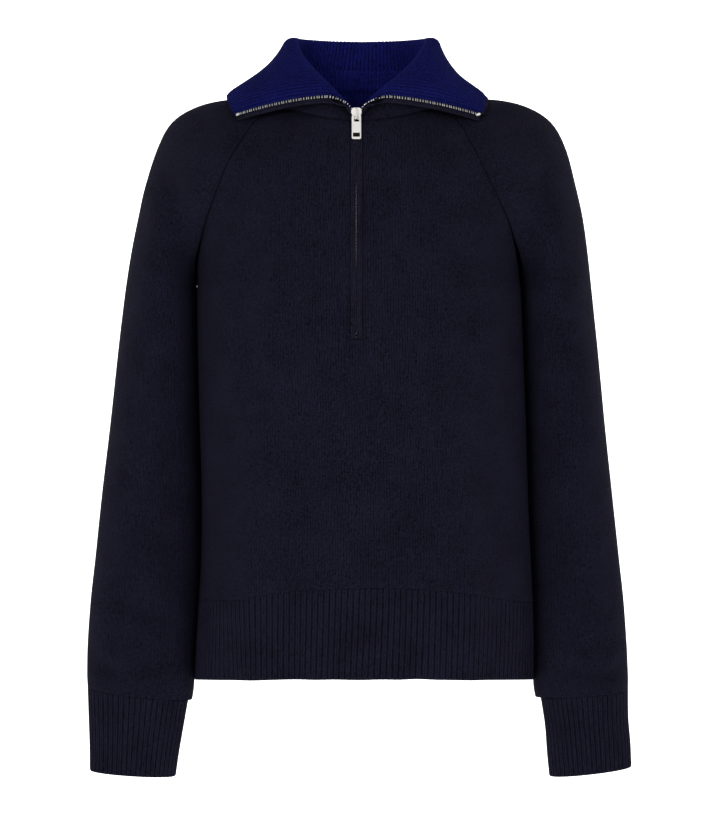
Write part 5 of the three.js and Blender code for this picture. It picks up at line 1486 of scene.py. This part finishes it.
NAVY_TINT, BLUE_TINT = (0.62, 0.6, 1.0), (0.25, 0.3, 1.0)
finish = {
    "knit": knit_material("knit_navy", (0.0008, 0.0008, 0.0018), (0.0082, 0.0079, 0.0172), 0.008,
                          NAVY_TINT, follow_seam=True),
    "rib": knit_material("rib_navy", (0.0008, 0.0008, 0.0018), (0.0080, 0.0076, 0.0165), 0.008,
                         NAVY_TINT, ribbed=True, wale=3.0),
    "cobalt": knit_material("rib_cobalt", (0.0008, 0.001, 0.011), (0.0052, 0.0066, 0.071), 0.004,
                            BLUE_TINT, ribbed=True, wale=3.0),
    "band": knit_material("band_navy", (0.001, 0.001, 0.002), (0.011, 0.0105, 0.021), 0.008,
                          NAVY_TINT, wale=2.0),
    "tape": plain_material("tape_navy", (0.005, 0.0048, 0.009), 0.9, grain=0.3),
    "thread": plain_material("thread_navy", (0.0030, 0.0029, 0.0062), 0.95, grain=0.2),
    "mark": plain_material("mark_navy", (0.0085, 0.0082, 0.017), 0.95, grain=0.2),
    "bar": plain_material("bar_navy", (0.0048, 0.0046, 0.0098), 0.95, grain=0.2),
    "blue_thread": plain_material("thread_blue", (0.003, 0.0036, 0.045), 0.9, grain=0.2),
    "dark": plain_material("slot_dark_plate", (0.004, 0.0035, 0.003), 0.5, grain=0.1),
    "teeth": plain_material("teeth_metal", (0.78, 0.77, 0.75), 0.32, 1.0, 0.03),
    "metal": plain_material("slider_metal", (0.62, 0.6, 0.58), 0.38, 1.0, 0.06),
    "tab": plain_material("pull_metal", (0.66, 0.64, 0.62), 0.42, 1.0, 0.05),
}


def dress(piece, key, nodes=(), body=BODY):
    piece.data.materials.clear()
    piece.data.materials.append(finish[key])
    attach(piece, body)
    if nodes:
        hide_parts(*nodes)


dress(knit_front, "knit", ("front",))
dress(knit_back, "knit", ("back",))
for side in ("left", "right"):
    dress(knit_sleeves[side], "knit", ("sleeve_" + side,))
    dress(rib_cuffs[side], "rib", ("cuff_" + side,))
    dress(bands[side], "band", ("zip_band_" + side,))
    dress(teeth[side], "teeth", ("zip_" + side,))
    dress(tapes[side], "tape")
    dress(stops[side], "teeth")
for face in ("front", "back"):
    dress(rib_hems[face], "rib", ("hem_" + face,))
dress(facing, "cobalt", ("collar_facing",))
dress(collar_outer, "rib", ("collar_outer",))
dress(slider, "metal", ("slider",))
dress(tab, "tab", ("pull_tab",), "pull_tab")
dress(slot, "dark", (), "pull_tab")
dress(seams, "thread")
dress(marks, "mark")
dress(foot_bar, "bar")
dress(stitches, "blue_thread")
dress(facing_foot, "cobalt")
print("materials:", len(finish))

# %% [markdown]
# Each piece of cloth also states how it was cut, flat, before anyone wore it. The widths and lengths are
# estimates, and they differ from the modelled cloth: there the front, the back and the sleeves are
# narrower, the sleeves longer, and the hem bands, the cuffs and the collar wider. The areas are half of
# each thin wall's surface; for the front hem band, the cuffs and the facing that is more than the stated
# width times length. Never more than the stated width times length, so the front hem band's, the cuffs'
# and the facing's areas are cut short.


# %% Flat sizes
def cloth_area(piece):
    return sum(p.area for p in piece.data.polygons) / 2


SHEETS = [
    (knit_front, (0.52, 0.52), "draped", [bands["left"], bands["right"], foot_bar, seams, marks,
                                          teeth["left"], teeth["right"], tapes["left"], tapes["right"],
                                          stops["left"], stops["right"], slider]),
    (knit_back, (0.52, 0.56), "draped", []),
    (knit_sleeves["left"], (0.4, 0.66), "draped", []),
    (knit_sleeves["right"], (0.4, 0.66), "draped", []),
    (rib_hems["front"], (0.46, 0.09), "draped", []),
    (rib_hems["back"], (0.46, 0.09), "draped", []),
    (rib_cuffs["left"], (0.21, 0.09), "draped", []),
    (rib_cuffs["right"], (0.21, 0.09), "draped", []),
    (collar_outer, (0.53, 0.13), "folded", []),
    (facing, (0.53, 0.13), "folded", [stitches, facing_foot]),
]
for piece, flat, held, extras in SHEETS:
    print(piece.name, "cloth in square metres:", round(cloth_area(piece), 4), "flat:", flat)

# %% [markdown]
# The studio is one white sheet: a floor well below the hem, a curve, and a wall far behind, out of the
# way of a camera that goes round. It isn't part of the sweater.

# %% The studio
FLOOR_Z, WALL_AT, CURVE, HALF_WIDE, WALL_TOP = -1.0, 9.0, 1.5, 26.0, 20.0
profile = [(-14.0, FLOOR_Z), (WALL_AT - CURVE, FLOOR_Z)]
for angle in np.radians(np.linspace(0, 90, 13)[1:]):
    profile.append((WALL_AT - CURVE + CURVE * np.sin(angle), FLOOR_Z + CURVE * (1 - np.cos(angle))))
profile.append((WALL_AT, WALL_TOP))
points = [(x, y, z) for y, z in profile for x in (-HALF_WIDE, HALF_WIDE)]
faces = [(2 * i, 2 * i + 1, 2 * i + 3, 2 * i + 2) for i in range(len(profile) - 1)]
mesh = bpy.data.meshes.new("studio_sheet")
mesh.from_pydata(points, [], faces)
mesh.polygons.foreach_set("use_smooth", np.ones(len(mesh.polygons), bool))
studio = link("studio_sheet", mesh)
paper = Nodes("paper")
paper.shader.inputs["Base Color"].default_value = (0.9, 0.9, 0.9, 1)
paper.shader.inputs["Roughness"].default_value = 1.0
paper.shader.inputs["Specular IOR Level"].default_value = 0.0
paper.shader.inputs["Emission Color"].default_value = (1, 1, 1, 1)
paper.shader.inputs["Emission Strength"].default_value = 1.0
mesh.materials.append(paper.material)
print("studio sheet faces:", len(faces))
